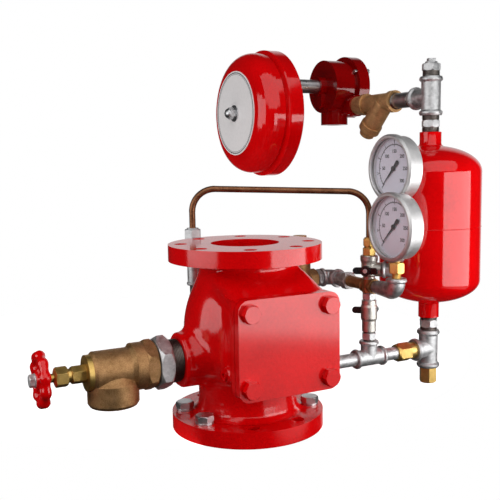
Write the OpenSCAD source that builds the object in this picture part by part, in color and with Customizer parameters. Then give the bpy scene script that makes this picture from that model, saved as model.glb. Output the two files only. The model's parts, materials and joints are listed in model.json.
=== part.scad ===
// Wet-pipe sprinkler alarm valve with its trim: by-pass tube, gauges, alarm line,
// retarding chamber, strainer, water motor and gong.
// Millimetres. Origin at the centre of the bottom flange's lower face, +Z up,
// the cover faces -Y, the drain line leaves on -X and the alarm line on +X.

/* [Valve body] */
// Height from flange face to flange face
body_h = 275.7; // [272:0.1:284]
// Outside diameter of both flanges
flange_d = 228.6; // [225:0.2:236]
// Thickness of each flange
flange_t = 23.9; // [21:0.1:26]
// Bolt circle of the flanges
bolt_circle_d = 190.5; // [188:0.5:194]
// Diameter of the top flange's bolt holes
bolt_hole_d = 19; // [18:0.5:21]
// Diameter of the bottom flange's holes
inlet_hole_d = 18; // [17:0.5:20]
// Waterway through both flanges
waterway_d = 102; // [98:0.5:104]
// Largest diameter of the clapper chamber
bulge_d = 188; // [185:0.5:192]
// Height of the largest diameter
bulge_z = 146; // [143:0.5:150]
// Rounding of the chamber above its largest diameter
shoulder_r = 146; // [142:0.5:152]
// Outside diameter of the neck under the top flange
neck_d = 138; // [134:0.5:142]
// Outside diameter of the foot above the bottom flange
foot_d = 147; // [144:0.5:150]
// Casting wall
wall = 11; // [10:0.25:12]

/* [Clapper] */
// Height of the seat face
seat_z = 90; // [88:0.5:92]
// Outside diameter of the clapper
clapper_d = 116; // [114:0.5:118]
// Thickness of the clapper plate
clapper_t = 9; // [8:0.5:10]
// Distance of the hinge pin behind the valve axis
hinge_y = 66; // [65:0.5:67]
// Height of the hinge pin above the seat
hinge_rise = 16; // [15.5:0.5:17]
// Diameter of the hinge pin
hinge_pin_d = 10; // [9:0.5:11]

/* [Cover] */
// Width of the cover plate
cover_w = 158; // [154:0.5:162]
// Height of the cover plate
cover_h = 138.4; // [135:0.2:141]
// Height of the cover's centre
cover_z = 146; // [144:0.5:148]
// Thickness of the cover plate
cover_t = 12; // [10:0.5:14]
// Distance of the cover's front face from the valve axis
cover_front = 132.8; // [130:0.2:136]
// Corner radius of the cover
cover_corner = 16; // [12:0.5:18]
// Thickness of the gasket
gasket_t = 1.6; // [1:0.1:3]
// Spacing of the cover bolts across
cover_bolt_dx = 124; // [121:0.5:126]
// Spacing of the cover bolts in height
cover_bolt_dz = 102; // [100:0.5:104]
// Width across flats of the cover bolt heads
cover_head_af = 23; // [21:0.5:25]
// Height of the cover bolt heads
cover_head_h = 10; // [8:0.5:12]

/* [Drain line] */
// Height of the drain axis
drain_z = 112; // [110:0.5:114]
// Outside diameter of the drain nipple
drain_pipe_d = 60.3; // [58:0.1:62]
// Distance of the drain boss face from the valve axis
drain_face = 113; // [111:0.5:117]
// Width across flats of the drain boss
drain_boss_af = 78; // [76:0.5:81]
// Length of the angle valve's barrel
barrel_l = 53; // [51:0.5:58]
// Outside diameter of the barrel
barrel_d = 57; // [56:0.5:60]
// Outside diameter of the downward outlet
outlet_d = 72; // [68:0.5:74]
// Height of the outlet's mouth above the floor
outlet_z = 63; // [60:0.5:66]
// Outside diameter of the handwheel
wheel_d = 80; // [76:0.5:86]
// Diameter of the drain stem
stem_d = 12; // [10:0.5:13]

/* [Alarm line] */
// Height of the alarm line axis
alarm_z = 70; // [68:0.5:72]
// Distance of the trim riser from the valve axis
trim_x = 226.3; // [224:0.1:230]
// Distance of the retarding chamber from the valve axis
chamber_x = 351.5; // [350:0.1:356]
// Length of the alarm line valve
alarm_valve_l = 51.5; // [50:0.5:54]
// Outside diameter of the small valve balls
ball_d = 17; // [16:0.25:18]

/* [Gauge line] */
// Height of the gauge line axis
gauge_z = 190.4; // [188:0.2:192]
// Distance of the front gauge before the trim riser
front_gauge_y = 71; // [70:0.5:74]
// Distance of the rear elbow behind the trim riser
rear_elbow_y = 113; // [112:0.5:116]
// Distance of the rear gauge branch from the trim riser
branch_l = 44; // [44:0.25:45]
// Direction of the rear gauge branch, turned from +X
branch_turn = -50.5; // [-50.5:0.5:-48]

/* [Gauges] */
// Outside diameter of the gauge cases
gauge_d = 102; // [100:0.5:103]
// Outside diameter of the bezels
bezel_d = 108; // [107:0.5:110]
// Depth of a gauge from bezel to back
gauge_depth = 27.5; // [26.5:0.5:27.5]
// Height of the front gauge's centre
front_gauge_z = 291.5; // [290:0.5:294]
// Height of the rear gauge's centre
rear_gauge_z = 380; // [374:0.5:384]

/* [Retarding chamber] */
// Outside diameter of the chamber
chamber_d = 168; // [164:0.5:169]
// Wall of the chamber
chamber_wall = 3; // [2:0.25:4]
// Height of the chamber's bottom
chamber_z0 = 158; // [155:0.5:161]
// Height of the chamber's top
chamber_z1 = 410.5; // [406:0.5:412]
// Knuckle radius of the dished ends
knuckle_r = 36; // [30:0.5:42]
// Height of the top tee's axis
top_tee_z = 496; // [494:0.5:500]

/* [Water motor and gong] */
// Distance of the motor shaft behind the valve axis
motor_y = 268; // [266:0.5:272]
// Height of the motor shaft
motor_z = 535; // [533:0.5:538]
// Outside diameter of the motor's front housing
motor_d = 100; // [98:0.5:104]
// Outside diameter of the motor's rear cover
motor_cover_d = 117; // [115:0.5:120]
// Outside diameter of the shaft tube
shaft_tube_d = 26; // [25:0.5:27]
// Outside diameter of the gong's rim band
gong_d = 230; // [226:0.5:234]
// Drop of the gong's centre below the motor shaft
gong_drop = 53; // [52:0.5:55]
// Depth of the gong from its face to its open back
gong_depth = 79; // [77:0.5:81]
// Distance of the gong's flat face from the valve axis
gong_face_x = 121; // [118:0.5:124]
// Sheet thickness of the gong
gong_wall = 3; // [2:0.25:4]
// Diameter of the label disc
label_d = 152; // [146:0.5:154]

/* [By-pass tube] */
// Outside diameter of the copper tube
tube_d = 10; // [9:0.25:11]
// Bend radius of the copper tube's axis
tube_bend = 36; // [30:0.5:40]
// Height of the tube's run at its rear end
tube_top_z = 352; // [346:0.5:356]
// Fall of the run along its length, in degrees
tube_fall = 2; // [0:0.25:3]
// Distance of the rear riser behind the valve axis
riser_y = 126; // [125:0.5:130]
// Distance of the rear riser to the drain side
riser_x = 30; // [28:0.5:32]

/* [Fits] */
// Radial clearance of a screwed pipe in its socket
thread_clear = 0.05; // [0.03:0.01:0.1]
// Radial clearance of a turning shaft
run_clear = 0.06; // [0.03:0.01:0.1]
// Gap between a moving piece and its housing
air_gap = 0.6; // [0.4:0.1:0.8]

/* [Hidden] */
$fn = 64;
eps = 0.5;
red = "#b3131a";
bronze = "#8f6b40";
brass = "#c9a13c";
galvanized = "#a7a9ab";
nickel = "#c2bdb6";
black = "#2a2523";
copper = "#a5673f";
steel = "#b9b9bb";

// Pipe sizes: outside radius, fitting body radius, bead radius, bead width, bore radius, thread depth
pipe_quarter = [6.85, 9.3, 11.6, 6, 4.4, 9];
pipe_three_eighths = [8.6, 11.4, 13.8, 6, 6, 9];
pipe_half = [10.65, 13.4, 16.2, 7, 7.9, 12];
pipe_three_quarter = [13.45, 16, 19.3, 9, 10.4, 14];
function pipe_r(p) = p[0];
function shell_r(p) = p[1];
function bead_r(p) = p[2];
function bead_w(p) = p[3];
function bore_r(p) = p[4];
function thread_l(p) = p[5];
function socket_r(p) = p[0] + thread_clear;
function hex_ac(af) = af / cos(30);

bolt_count = 8;
bolt_step = 360 / bolt_count;
held_bolts = [3, 4, 7];
flange_bolt_d = 16;
washer_d = 26;
washer_t = 3;
hub_d = 163;
hub_top = 46;

waterway_r = waterway_d / 2;
bulge_r = bulge_d / 2;
foot_r = foot_d / 2;
foot_z = 68;
waist_z = 122;
top_flange_z = body_h - flange_t;
pad_face = cover_front - cover_t - gasket_t;
pad_inset = 2;
window_w = 106;
window_h = 84;
cover_bolt_d = 12;
cover_bolt_l = 34;

function bulge_arc(z) = bulge_r - shoulder_r
    + sqrt(pow(shoulder_r, 2) - pow(min(z - bulge_z, shoulder_r), 2));
function waist_blend(z) = (1 - cos(180 * (z - foot_z) / (waist_z - foot_z))) / 2;
function casting_r(z) = z < foot_z ? foot_r
    : z < waist_z ? foot_r + (bulge_r - foot_r) * waist_blend(z)
    : z < bulge_z ? bulge_r : max(bulge_arc(z), neck_d / 2);

seat_ring_r = 64;
seat_ring_h = 10;
cavity_top_z = top_flange_z - 24;

// Drain stations, measured along -X from the valve axis
boss_socket_l = 17;
coupling_x0 = drain_face + 16;
coupling_l = 20;
coupling_grip = 12;
coupling_af = 69;
drain_hex_x0 = coupling_x0 + coupling_l + 1;
drain_hex_l = 18;
drain_hex_af = 64;
collar_l = 14;
collar_d = 67;
barrel_taper = 6;
barrel_x0 = drain_hex_x0 + drain_hex_l + collar_l + barrel_taper;
barrel_x1 = barrel_x0 + barrel_l;
outlet_x = barrel_x0 + 21.5;
drain_seat_x = barrel_x0 + 2;
drain_port_r = 19;
drain_disc_r = 22;
drain_disc_t = 7;
bonnet_flange_t = 7;
bonnet_flange_d = 50;
bonnet_af = 22;
bonnet_l = 25;
gland_x0 = barrel_x1 + bonnet_flange_t + bonnet_l;
gland_l = 19;
gland_af = 25;
wheel_x = gland_x0 + gland_l + 16;
wheel_rim_d = 11;
stem_r = stem_d / 2;

// Alarm line stations along +X and up the trim riser
alarm_face = 92;
tee_leg = 28.5;
nipple_gap = 16;
alarm_valve_z0 = alarm_z + tee_leg + nipple_gap;
alarm_valve_z1 = alarm_valve_z0 + alarm_valve_l;
alarm_ball_z = alarm_valve_z0 + alarm_valve_l * 0.6;
cross_leg = 11;
cross_z0 = gauge_z - cross_leg;
cross_z1 = gauge_z + cross_leg;
alarm_stem_turn = 67.5;
low_tee_leg = 32.5;
restrictor_x0 = trim_x + tee_leg + 26;
restrictor_l = 26;
restrictor_af = 28;
small_hex_af = 21;
medium_hex_af = 27;

// Three-way gauge valve on the cross
gauge_valve_l = 39;
gauge_valve_z1 = cross_z1 + gauge_valve_l;
gauge_ball_z = cross_z1 + 16;
gauge_stem_turn = branch_turn - 90;
port_l = 21.5;

// Gauge line stations along Y
cross_tail = 54;
cross_nose = 16;
street_grip = 6;
union_l = 14;
union_af = 27;
elbow_leg = 25.5;
short_leg = 21;
street_leg = front_gauge_y - cross_nose - 4;
rear_leg_x = trim_x - short_leg;
check_gap = 12;
check_x1 = rear_leg_x - check_gap;
check_l = 60;
check_x0 = check_x1 - check_l;
check_top_z = 267;
port_elbow_x = 60;
port_face_y = 88;

// Gauges
gauge_stem_back = 17;
front_gauge_x = trim_x - gauge_stem_back;
rear_gauge_x = trim_x + branch_l * cos(branch_turn) - gauge_stem_back;
rear_gauge_y = branch_l * sin(branch_turn);
bezel_lip = 7;
bezel_front_t = 3;
bezel_l = 10;
lens_t = 5;
dial_gap = 4.5;
dial_t = 1.5;
case_wall = 3.4;
case_back_t = 3;
adapter_hex_af = 22;
adapter_neck_r = 6;

// Retarding chamber
chamber_r = chamber_d / 2;
top_neck_d = 36;
low_neck_d = 34.5;
top_neck_z = chamber_z1 + 28;
low_neck_z = chamber_z0 - 32.5;
top_tee_low = 30;
top_tee_high = 33.5;
top_tee_branch = 42;
strainer_y0 = 93.5;
strainer_l = 94;
strainer_y1 = strainer_y0 + strainer_l;
strainer_tail = 20;
strainer_leg_y = strainer_y0 + 32;
strainer_leg_d = 40;
strainer_leg_l = 66;
inlet_y = strainer_y1 + strainer_tail;

// Water motor stations along X
motor_x0 = 311;
motor_wall_x = 372;
motor_cover_t = 9;
motor_x1 = 388;
motor_groove_x = 352;
motor_groove_w = 6;
motor_cavity_r = motor_d / 2 - 8;
motor_boss_l = 14;
outlet_boss_d = 52;
outlet_boss_z = motor_z - 73;
motor_outlet_x = 338;
shaft_r = 6;
gong_z = motor_z - gong_drop;
gong_back_x = gong_face_x + gong_depth;
bracket_x = gong_back_x - 14;
bracket_t = 10;
stud_r = 6;
striker_x = gong_face_x + 15;
stud_sleeve_r = stud_r + 2;
dome_r = gong_d / 2 - 6;
dome_round = (dome_r * 2 - label_d) / 2;
function dome_inside(x) = dome_r - dome_round
    + sqrt(pow(dome_round - gong_wall, 2) - pow(max(dome_round - x, 0), 2));
striker_l = min(gong_drop - stud_sleeve_r, dome_inside(striker_x - gong_face_x) - gong_drop) - air_gap;

// By-pass tube in its own upright plane: u runs from the rear riser to the trim riser
riser_low_z = 62;
riser_elbow_leg = 18;
coupling_z1 = body_h - 3.7;
coupling_z0 = coupling_z1 - 75;
nut_left_z1 = coupling_z1 + 18;
connector_z0 = gauge_valve_z1;
connector_l = 15;
nut_right_l = 14;
run_u = sqrt(pow(trim_x + riser_x, 2) + pow(riser_y, 2));
run_turn = atan2(-riser_y, trim_x + riser_x);
tube_r = tube_d / 2;
tube_bore_r = tube_r - 1;
tube_upset = 0.15;
left_bend = 90 + tube_fall;
right_bend = 90 - tube_fall;
left_bend_z = tube_top_z - tube_bend;
run_start = [tube_bend - tube_bend * cos(left_bend), left_bend_z + tube_bend * sin(left_bend)];
right_centre_u = run_u - tube_bend;
run_end_u = right_centre_u + tube_bend * sin(tube_fall);
run_len = (run_end_u - run_start[0]) / cos(tube_fall);
run_end_z = run_start[1] - run_len * sin(tube_fall);
right_bend_z = run_end_z - tube_bend * cos(tube_fall);

// Shared shapes

// Lifts a shape
module up(z) translate([0, 0, z]) children();

// Turns a shape that points up along X, -X, Y or -Y
module to_x() rotate([0, 90, 0]) children();
module to_minus_x() rotate([0, -90, 0]) children();
module to_y() rotate([-90, 0, 0]) children();
module to_minus_y() rotate([90, 0, 0]) children();

module at_x(x) translate([x, 0, 0]) to_x() children();

// Places a shape on the trim riser's or the retarding chamber's axis
module on_riser(z) translate([trim_x, 0, z]) children();
module on_chamber(z) translate([chamber_x, 0, z]) children();

// Rectangle with round corners, centred
module round_rect(w, h, r) {
    square([w - 2 * r, h], center = true);
    square([w, h - 2 * r], center = true);
    for (x = [-1, 1], y = [-1, 1])
        translate([x * (w / 2 - r), y * (h / 2 - r)]) circle(r);
}

// Hexagonal prism with its corners turned off at both ends
module hex_bar(af, h) {
    r = hex_ac(af) / 2;
    bevel = r - af / 2;
    intersection() {
        cylinder(h = h, r = r, $fn = 6);
        rotate_extrude()
            polygon([[0, 0], [af / 2, 0], [r, bevel], [r, h - bevel], [af / 2, h], [0, h]]);
    }
}

// Straight pipe, open at both ends
module pipe(p, l) {
    difference() {
        cylinder(h = l, r = pipe_r(p));
        up(-eps) cylinder(h = l + 2 * eps, r = bore_r(p));
    }
}

// Hex nipple: a hexagon in the gap and a thread into the fitting at each end
module hex_nipple(p, gap, af, hex_l) {
    difference() {
        union() {
            up(-thread_l(p) + eps)
                cylinder(h = gap + 2 * thread_l(p) - 2 * eps, r = pipe_r(p));
            up((gap - hex_l) / 2) hex_bar(af, hex_l);
        }
        up(-thread_l(p)) cylinder(h = gap + 2 * thread_l(p), r = bore_r(p));
    }
}

// One leg of a screwed fitting with its rounded bead
module leg(p, l) {
    round = bead_w(p) / 3;
    cylinder(h = l, r = shell_r(p));
    up(l - bead_w(p)) rotate_extrude()
        polygon([[0, 0], [shell_r(p), 0], [bead_r(p), round], [bead_r(p), bead_w(p) - round],
            [bead_r(p) - round / 2, bead_w(p)], [0, bead_w(p)]]);
}

// Threaded mouth and waterway of one leg
module leg_bore(p, l) {
    cylinder(h = l, r = bore_r(p));
    up(l - thread_l(p)) cylinder(h = thread_l(p) + eps, r = socket_r(p));
}

// Tee with its run along X and its branch along +Z
module tee(p, run_a, run_b, branch, branch_pipe) {
    difference() {
        union() {
            to_x() leg(p, run_b);
            to_minus_x() leg(p, run_a);
            leg(p, branch);
        }
        to_x() leg_bore(p, run_b);
        to_minus_x() leg_bore(p, run_a);
        leg_bore(branch_pipe, branch);
    }
}

// Swept bend between a leg along +X and a leg along +Z
module bend(r, sweep) {
    translate([sweep, 0, sweep]) rotate([90, 0, 0]) rotate([0, 0, 180])
        rotate_extrude(angle = 90) translate([sweep, 0]) circle(r);
}

// Elbow with one leg along +X and one along +Z
module elbow(p, leg_x, leg_z) {
    sweep = shell_r(p) + 0.6;
    difference() {
        union() {
            bend(shell_r(p), sweep);
            at_x(sweep) leg(p, leg_x - sweep);
            up(sweep) leg(p, leg_z - sweep);
        }
        bend(bore_r(p), sweep);
        at_x(sweep) leg_bore(p, leg_x - sweep);
        up(sweep) leg_bore(p, leg_z - sweep);
    }
}

// Butterfly handle on a stem that points up, its two wings bent outwards
module butterfly(hub_r, hub_h, wing_l, stem_hole_r) {
    wing_h = 11;
    wing_t = 3.5;
    wing_lift = 18;
    difference() {
        union() {
            cylinder(h = hub_h, r = hub_r);
            for (side = [0, 180]) rotate([0, 0, side]) rotate([0, -wing_lift, 0])
                up(0.2) linear_extrude(wing_t) {
                    translate([0, -wing_h / 2]) square([wing_l - wing_h / 2, wing_h]);
                    translate([wing_l - wing_h / 2, 0]) circle(wing_h / 2);
                }
        }
        up(-2 * hub_h) cylinder(h = 2 * hub_h, r = 3 * hub_r);
        up(-eps) cylinder(h = hub_h + 2 * eps, r = stem_hole_r);
    }
}

// Valve body and what closes it

module flange_holes() {
    for (k = [0 : bolt_count - 1]) rotate([0, 0, (k + 0.5) * bolt_step])
        translate([bolt_circle_d / 2, 0, -eps]) {
            cylinder(h = flange_t + 2 * eps, d = inlet_hole_d);
            up(top_flange_z) cylinder(h = flange_t + 2 * eps, d = bolt_hole_d);
        }
}

module chamber_outside() {
    steps = 14;
    z1 = top_flange_z + eps;
    rotate_extrude() polygon(concat(
        [[0, flange_t - eps], [hub_d / 2, flange_t - eps], [hub_d / 2 - 6, flange_t + 8], [foot_r, hub_top]],
        [for (i = [0 : steps]) let (z = foot_z + (z1 - foot_z) * i / steps) [casting_r(z), z]],
        [[0, z1]]));
}

module chamber_inside() {
    steps = 10;
    rotate_extrude() polygon(concat(
        [[0, -eps], [waterway_r, -eps], [waterway_r, seat_z - seat_ring_h],
            [seat_ring_r + thread_clear, seat_z - seat_ring_h], [seat_ring_r + thread_clear, seat_z - 3]],
        [for (i = [0 : steps]) let (z = seat_z - 3 + (cavity_top_z - seat_z + 3) * i / steps)
            [max(casting_r(z) - wall, waterway_r), z]],
        [[waterway_r, cavity_top_z + 6], [waterway_r, body_h + eps], [0, body_h + eps]]));
}

// Box that carries the cover, with a hipped roof that rises to the neck
module cover_box() {
    box_w = cover_w - 2 * pad_inset;
    box_h = cover_h - 2 * pad_inset;
    low = cover_z - box_h / 2;
    eaves = cover_z + box_h / 2;
    ridge = top_flange_z - 6;
    intersection() {
        up(cover_z) to_minus_y() linear_extrude(pad_face) {
            round_rect(box_w, box_h, cover_corner);
            polygon([[-box_w / 2, 0], [box_w / 2, 0], [box_w / 2, box_h / 2 - cover_corner],
                [neck_d / 2, ridge - cover_z], [-neck_d / 2, ridge - cover_z],
                [-box_w / 2, box_h / 2 - cover_corner]]);
        }
        rotate([90, 0, 90]) up(-box_w) linear_extrude(2 * box_w)
            polygon([[-pad_face, low], [-pad_face, eaves - 3], [-pad_face * 0.7, eaves],
                [-pad_face * 0.3, ridge - 6], [0, ridge - 1], [0, low + 24], [-pad_face / 2, low + 8]]);
    }
    translate([0, -pad_face + 9, cover_z]) to_minus_y() linear_extrude(9)
        round_rect(cover_w, cover_h, cover_corner);
}

module cover_bolt_places() {
    for (x = [-1, 1], z = [-1, 1])
        translate([x * cover_bolt_dx / 2, -cover_front, cover_z + z * cover_bolt_dz / 2]) to_y() children();
}

// Lugs for the hinge pin
lug_t = 12;
lug_gap = 36;
lug_r = 11;
hinge_z = seat_z + hinge_rise;
pin_l = lug_gap + 2 * lug_t;
module at_hinge() translate([-pin_l / 2, hinge_y, hinge_z]) to_x() children();

module hinge_lugs() {
    for (side = [-1, 1]) translate([side * (lug_gap + lug_t) / 2 - lug_t / 2, hinge_y, hinge_z])
        to_x() {
            cylinder(h = lug_t, r = lug_r);
            translate([1 - lug_r, 0, 0])
                cube([2 * lug_r - 2, casting_r(hinge_z) - wall / 2 - hinge_y, lug_t]);
        }
}

module valve_body() {
    color(red) difference() {
        union() {
            difference() {
                union() {
                    for (z = [0, top_flange_z]) up(z) cylinder(h = flange_t, d = flange_d);
                    chamber_outside();
                    cover_box();
                    up(drain_z) to_minus_x() {
                        rotate([0, 0, 22.5])
                            cylinder(h = drain_face, d = drain_boss_af / cos(22.5), $fn = 8);
                    }
                    up(alarm_z) to_x() cylinder(h = alarm_face, r = bead_r(pipe_half) + 3);
                    translate([port_elbow_x, 0, gauge_z]) to_y()
                        cylinder(h = port_face_y, r = bead_r(pipe_half) + 1);
                    translate([-riser_x, 0, riser_low_z]) to_y()
                        cylinder(h = port_face_y, r = bead_r(pipe_quarter) + 4);
                }
                chamber_inside();
                translate([0, -pad_face - eps, cover_z]) to_y() linear_extrude(pad_face)
                    round_rect(window_w, window_h, cover_corner);
            }
            hinge_lugs();
        }
        flange_holes();
        cover_bolt_places() cylinder(h = cover_bolt_l + 2, d = cover_bolt_d + 2 * thread_clear);
        translate([-drain_face + boss_socket_l, 0, drain_z]) to_minus_x()
            cylinder(h = boss_socket_l + eps, r = drain_pipe_d / 2 + thread_clear);
        up(drain_z) to_minus_x() cylinder(h = drain_face, r = drain_port_r + 3);
        translate([alarm_face - thread_l(pipe_half), 0, alarm_z]) to_x()
            cylinder(h = thread_l(pipe_half) + eps, r = socket_r(pipe_half));
        translate([seat_ring_r - 7, 0, alarm_z]) to_x() cylinder(h = alarm_face - seat_ring_r, r = 5);
        translate([seat_ring_r - 7, 0, alarm_z]) cylinder(h = seat_z - seat_ring_h - alarm_z + eps, r = 4);
        translate([port_elbow_x, port_face_y - thread_l(pipe_half), gauge_z]) to_y()
            cylinder(h = thread_l(pipe_half) + eps, r = socket_r(pipe_half));
        translate([port_elbow_x, 0, gauge_z]) to_y() cylinder(h = port_face_y, r = bore_r(pipe_half));
        translate([-riser_x, port_face_y - thread_l(pipe_quarter), riser_low_z]) to_y()
            cylinder(h = thread_l(pipe_quarter) + eps, r = socket_r(pipe_quarter));
        translate([-riser_x, 0, riser_low_z]) to_y() cylinder(h = port_face_y, r = bore_r(pipe_quarter));
        at_hinge() cylinder(h = pin_l, r = hinge_pin_d / 2 + run_clear);
        at_plug() cylinder(h = plug_l + eps, r = plug_r + thread_clear);
    }
}

// Screwed plug in the cover box
plug_y = 82;
plug_z = 104;
plug_r = 8;
plug_l = 9;
plug_out = 1.5;
module at_plug() {
    translate([plug_l - plug_out - cover_w / 2 + pad_inset, -plug_y, plug_z]) to_minus_x() children();
}

module body_plug() {
    color(red) at_plug() difference() {
        cylinder(h = plug_l, r = plug_r);
        up(plug_l - 4) cylinder(h = 4 + eps, d = 8, $fn = 4);
    }
}

module seat_ring() {
    port_circle = seat_ring_r - 7;
    color(bronze) up(seat_z - seat_ring_h) difference() {
        cylinder(h = seat_ring_h, r = seat_ring_r);
        up(-eps) cylinder(h = seat_ring_h + 2 * eps, r = waterway_r - 1);
        for (k = [0 : 11]) rotate([0, 0, 30 * k]) translate([port_circle, 0, -eps])
            cylinder(h = seat_ring_h + 2 * eps, r = 2.5);
    }
}

clapper_seal_t = 3;
clapper_z0 = seat_z + air_gap;
clapper_plate_z = clapper_z0 + clapper_seal_t;
clapper_r = clapper_d / 2;
knuckle_l = lug_gap - 2 * air_gap;
knuckle_rad = hinge_pin_d / 2 + 4;
retainer_t = 4;
retainer_r = waterway_r - 6;

module clapper() {
    rib_h = 12;
    color(bronze) difference() {
        union() {
            up(clapper_plate_z) cylinder(h = clapper_t, r = clapper_r);
            up(clapper_plate_z + clapper_t) cylinder(h = 6, r1 = 30, r2 = 24);
            for (side = [-1, 1]) translate([side * 11 - 4, 0, clapper_plate_z + clapper_t - eps])
                cube([8, hinge_y, rib_h]);
            translate([-knuckle_l / 2, hinge_y, hinge_z]) to_x() cylinder(h = knuckle_l, r = knuckle_rad);
        }
        translate([-knuckle_l, hinge_y, hinge_z]) to_x()
            cylinder(h = 2 * knuckle_l, r = hinge_pin_d / 2 + run_clear);
        up(clapper_plate_z - eps) cylinder(h = 14, r = 5 + thread_clear);
    }
}

module clapper_seal() {
    color(black) up(clapper_z0) difference() {
        cylinder(h = clapper_seal_t, r = clapper_r - 1);
        up(-eps) cylinder(h = clapper_seal_t + 2 * eps, r = 5 + thread_clear);
    }
}

// Retainer plate with its screw through the seal
module clapper_retainer() {
    color(steel) up(clapper_z0 - retainer_t) {
        cylinder(h = retainer_t, r = retainer_r);
        cylinder(h = retainer_t + clapper_seal_t + 10, r = 5);
    }
}

module hinge_pin() {
    color(steel) at_hinge() cylinder(h = pin_l, r = hinge_pin_d / 2);
}

module cover_plate() {
    color(red) difference() {
        translate([0, -cover_front + cover_t, cover_z]) to_minus_y()
            linear_extrude(cover_t) round_rect(cover_w, cover_h, cover_corner);
        cover_bolt_places() up(-eps) cylinder(h = cover_t + 2 * eps, d = cover_bolt_d + 1);
    }
}

module cover_gasket() {
    color(black) difference() {
        translate([0, -pad_face, cover_z]) to_minus_y()
            linear_extrude(gasket_t) round_rect(cover_w - 2, cover_h - 2, cover_corner - 1);
        translate([0, -pad_face + eps, cover_z]) to_minus_y()
            linear_extrude(gasket_t + 2 * eps) round_rect(window_w, window_h, cover_corner);
        cover_bolt_places() cylinder(h = cover_front, d = cover_bolt_d + 1);
    }
}

module cover_bolts() {
    color(red) cover_bolt_places() {
        cylinder(h = cover_bolt_l, d = cover_bolt_d);
        up(-cover_head_h) hex_bar(cover_head_af, cover_head_h);
    }
}

module flange_bolts() {
    head_h = 10;
    head_af = 24;
    color(steel) for (k = held_bolts) rotate([0, 0, (k + 0.5) * bolt_step])
        translate([bolt_circle_d / 2, 0, 0]) {
            up(1) cylinder(h = flange_t, d = flange_bolt_d);
            up(flange_t) cylinder(h = washer_t, d = washer_d);
            up(flange_t + washer_t) hex_bar(head_af, head_h);
        }
}

// Drain line, each piece drawn along -X from the valve axis

module on_drain(x) translate([-x, 0, drain_z]) to_minus_x() children();

module drain_nipple() {
    nipple_l = coupling_x0 - drain_face + boss_socket_l + coupling_grip - 2 * eps;
    color(black) on_drain(drain_face - boss_socket_l + eps) difference() {
        cylinder(h = nipple_l, d = drain_pipe_d);
        up(-eps) cylinder(h = nipple_l + 2 * eps, r = 25);
    }
}

drain_thread_r = 24.1;
module drain_coupling() {
    color(galvanized) on_drain(coupling_x0) difference() {
        union() {
            hex_bar(coupling_af, coupling_l);
            up(coupling_l - eps) cylinder(h = 16 + eps, r = drain_thread_r);
        }
        up(-eps) cylinder(h = coupling_grip + eps, r = drain_pipe_d / 2 + thread_clear);
        cylinder(h = coupling_l + 20, r = drain_port_r);
    }
}

module drain_valve_body() {
    mouth_r = 24.2;
    outlet_top = drain_z - 17;
    color(bronze) difference() {
        union() {
            on_drain(drain_hex_x0) hex_bar(drain_hex_af, drain_hex_l);
            on_drain(drain_hex_x0 + drain_hex_l - eps) cylinder(h = collar_l + 2 * eps, d = collar_d);
            on_drain(barrel_x0 - barrel_taper) cylinder(h = barrel_taper, d1 = collar_d - 2, d2 = barrel_d);
            on_drain(barrel_x0) cylinder(h = barrel_l - 4, d = barrel_d);
            on_drain(barrel_x1 - 4) cylinder(h = 4, d1 = barrel_d, d2 = barrel_d - 7);
            translate([-outlet_x, 0, 0]) {
                up(outlet_z) cylinder(h = 4, d1 = outlet_d - 5, d2 = outlet_d);
                up(outlet_z + 4) cylinder(h = outlet_top - outlet_z - 4, d = outlet_d);
                up(outlet_top) cylinder(h = 10, d1 = outlet_d, d2 = barrel_d);
            }
        }
        on_drain(drain_hex_x0 - eps) cylinder(h = 17, r = drain_thread_r + thread_clear);
        on_drain(drain_hex_x0) cylinder(h = 60, r = drain_port_r);
        on_drain(drain_seat_x) cylinder(h = barrel_x1 - drain_seat_x + eps, r = drain_disc_r + 1.5);
        on_drain(barrel_x1) cylinder(h = bonnet_flange_t + air_gap, d = bonnet_flange_d + 2 * air_gap);
        translate([-outlet_x, 0, outlet_z - eps]) cylinder(h = 20 + eps, r = mouth_r);
        translate([-outlet_x, 0, outlet_z]) cylinder(h = drain_z - outlet_z, r = drain_port_r);
    }
}

bonnet_spigot = 12;
module drain_bonnet() {
    color(brass) on_drain(barrel_x1) difference() {
        union() {
            up(-bonnet_spigot) cylinder(h = bonnet_spigot + eps, r = drain_disc_r + 1.5 - thread_clear);
            cylinder(h = bonnet_flange_t, d = bonnet_flange_d);
            up(bonnet_flange_t - eps) hex_bar(bonnet_af, bonnet_l - 5 + eps);
            up(bonnet_flange_t) cylinder(h = bonnet_l + 8, r = bonnet_af / 2 - 1.5);
        }
        up(-bonnet_spigot - eps) cylinder(h = bonnet_spigot + bonnet_flange_t + bonnet_l + 9, r = stem_r + run_clear);
    }
}

module drain_gland_nut() {
    color(brass) on_drain(gland_x0) difference() {
        intersection() {
            hex_bar(gland_af, gland_l);
            up(gland_l - 32) sphere(r = 32);
        }
        up(-eps) cylinder(h = 10 + eps, r = bonnet_af / 2 - 1.5 + thread_clear);
        cylinder(h = gland_l + eps, r = stem_r + 0.4);
    }
}

drain_disc_x = drain_seat_x + air_gap;
disc_hub_l = 14;
module drain_disc() {
    color(bronze) on_drain(drain_disc_x) difference() {
        union() {
            cylinder(h = drain_disc_t, r = drain_disc_r);
            cylinder(h = disc_hub_l, r = stem_r + 5);
        }
        up(4) cylinder(h = disc_hub_l, r = stem_r + run_clear);
    }
}

wheel_hub_l = 14;
module drain_stem() {
    color(brass) on_drain(drain_disc_x + 4 + air_gap)
        cylinder(h = wheel_x + wheel_hub_l / 2 + 6 - drain_disc_x - 4 - air_gap, r = stem_r);
}

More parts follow.
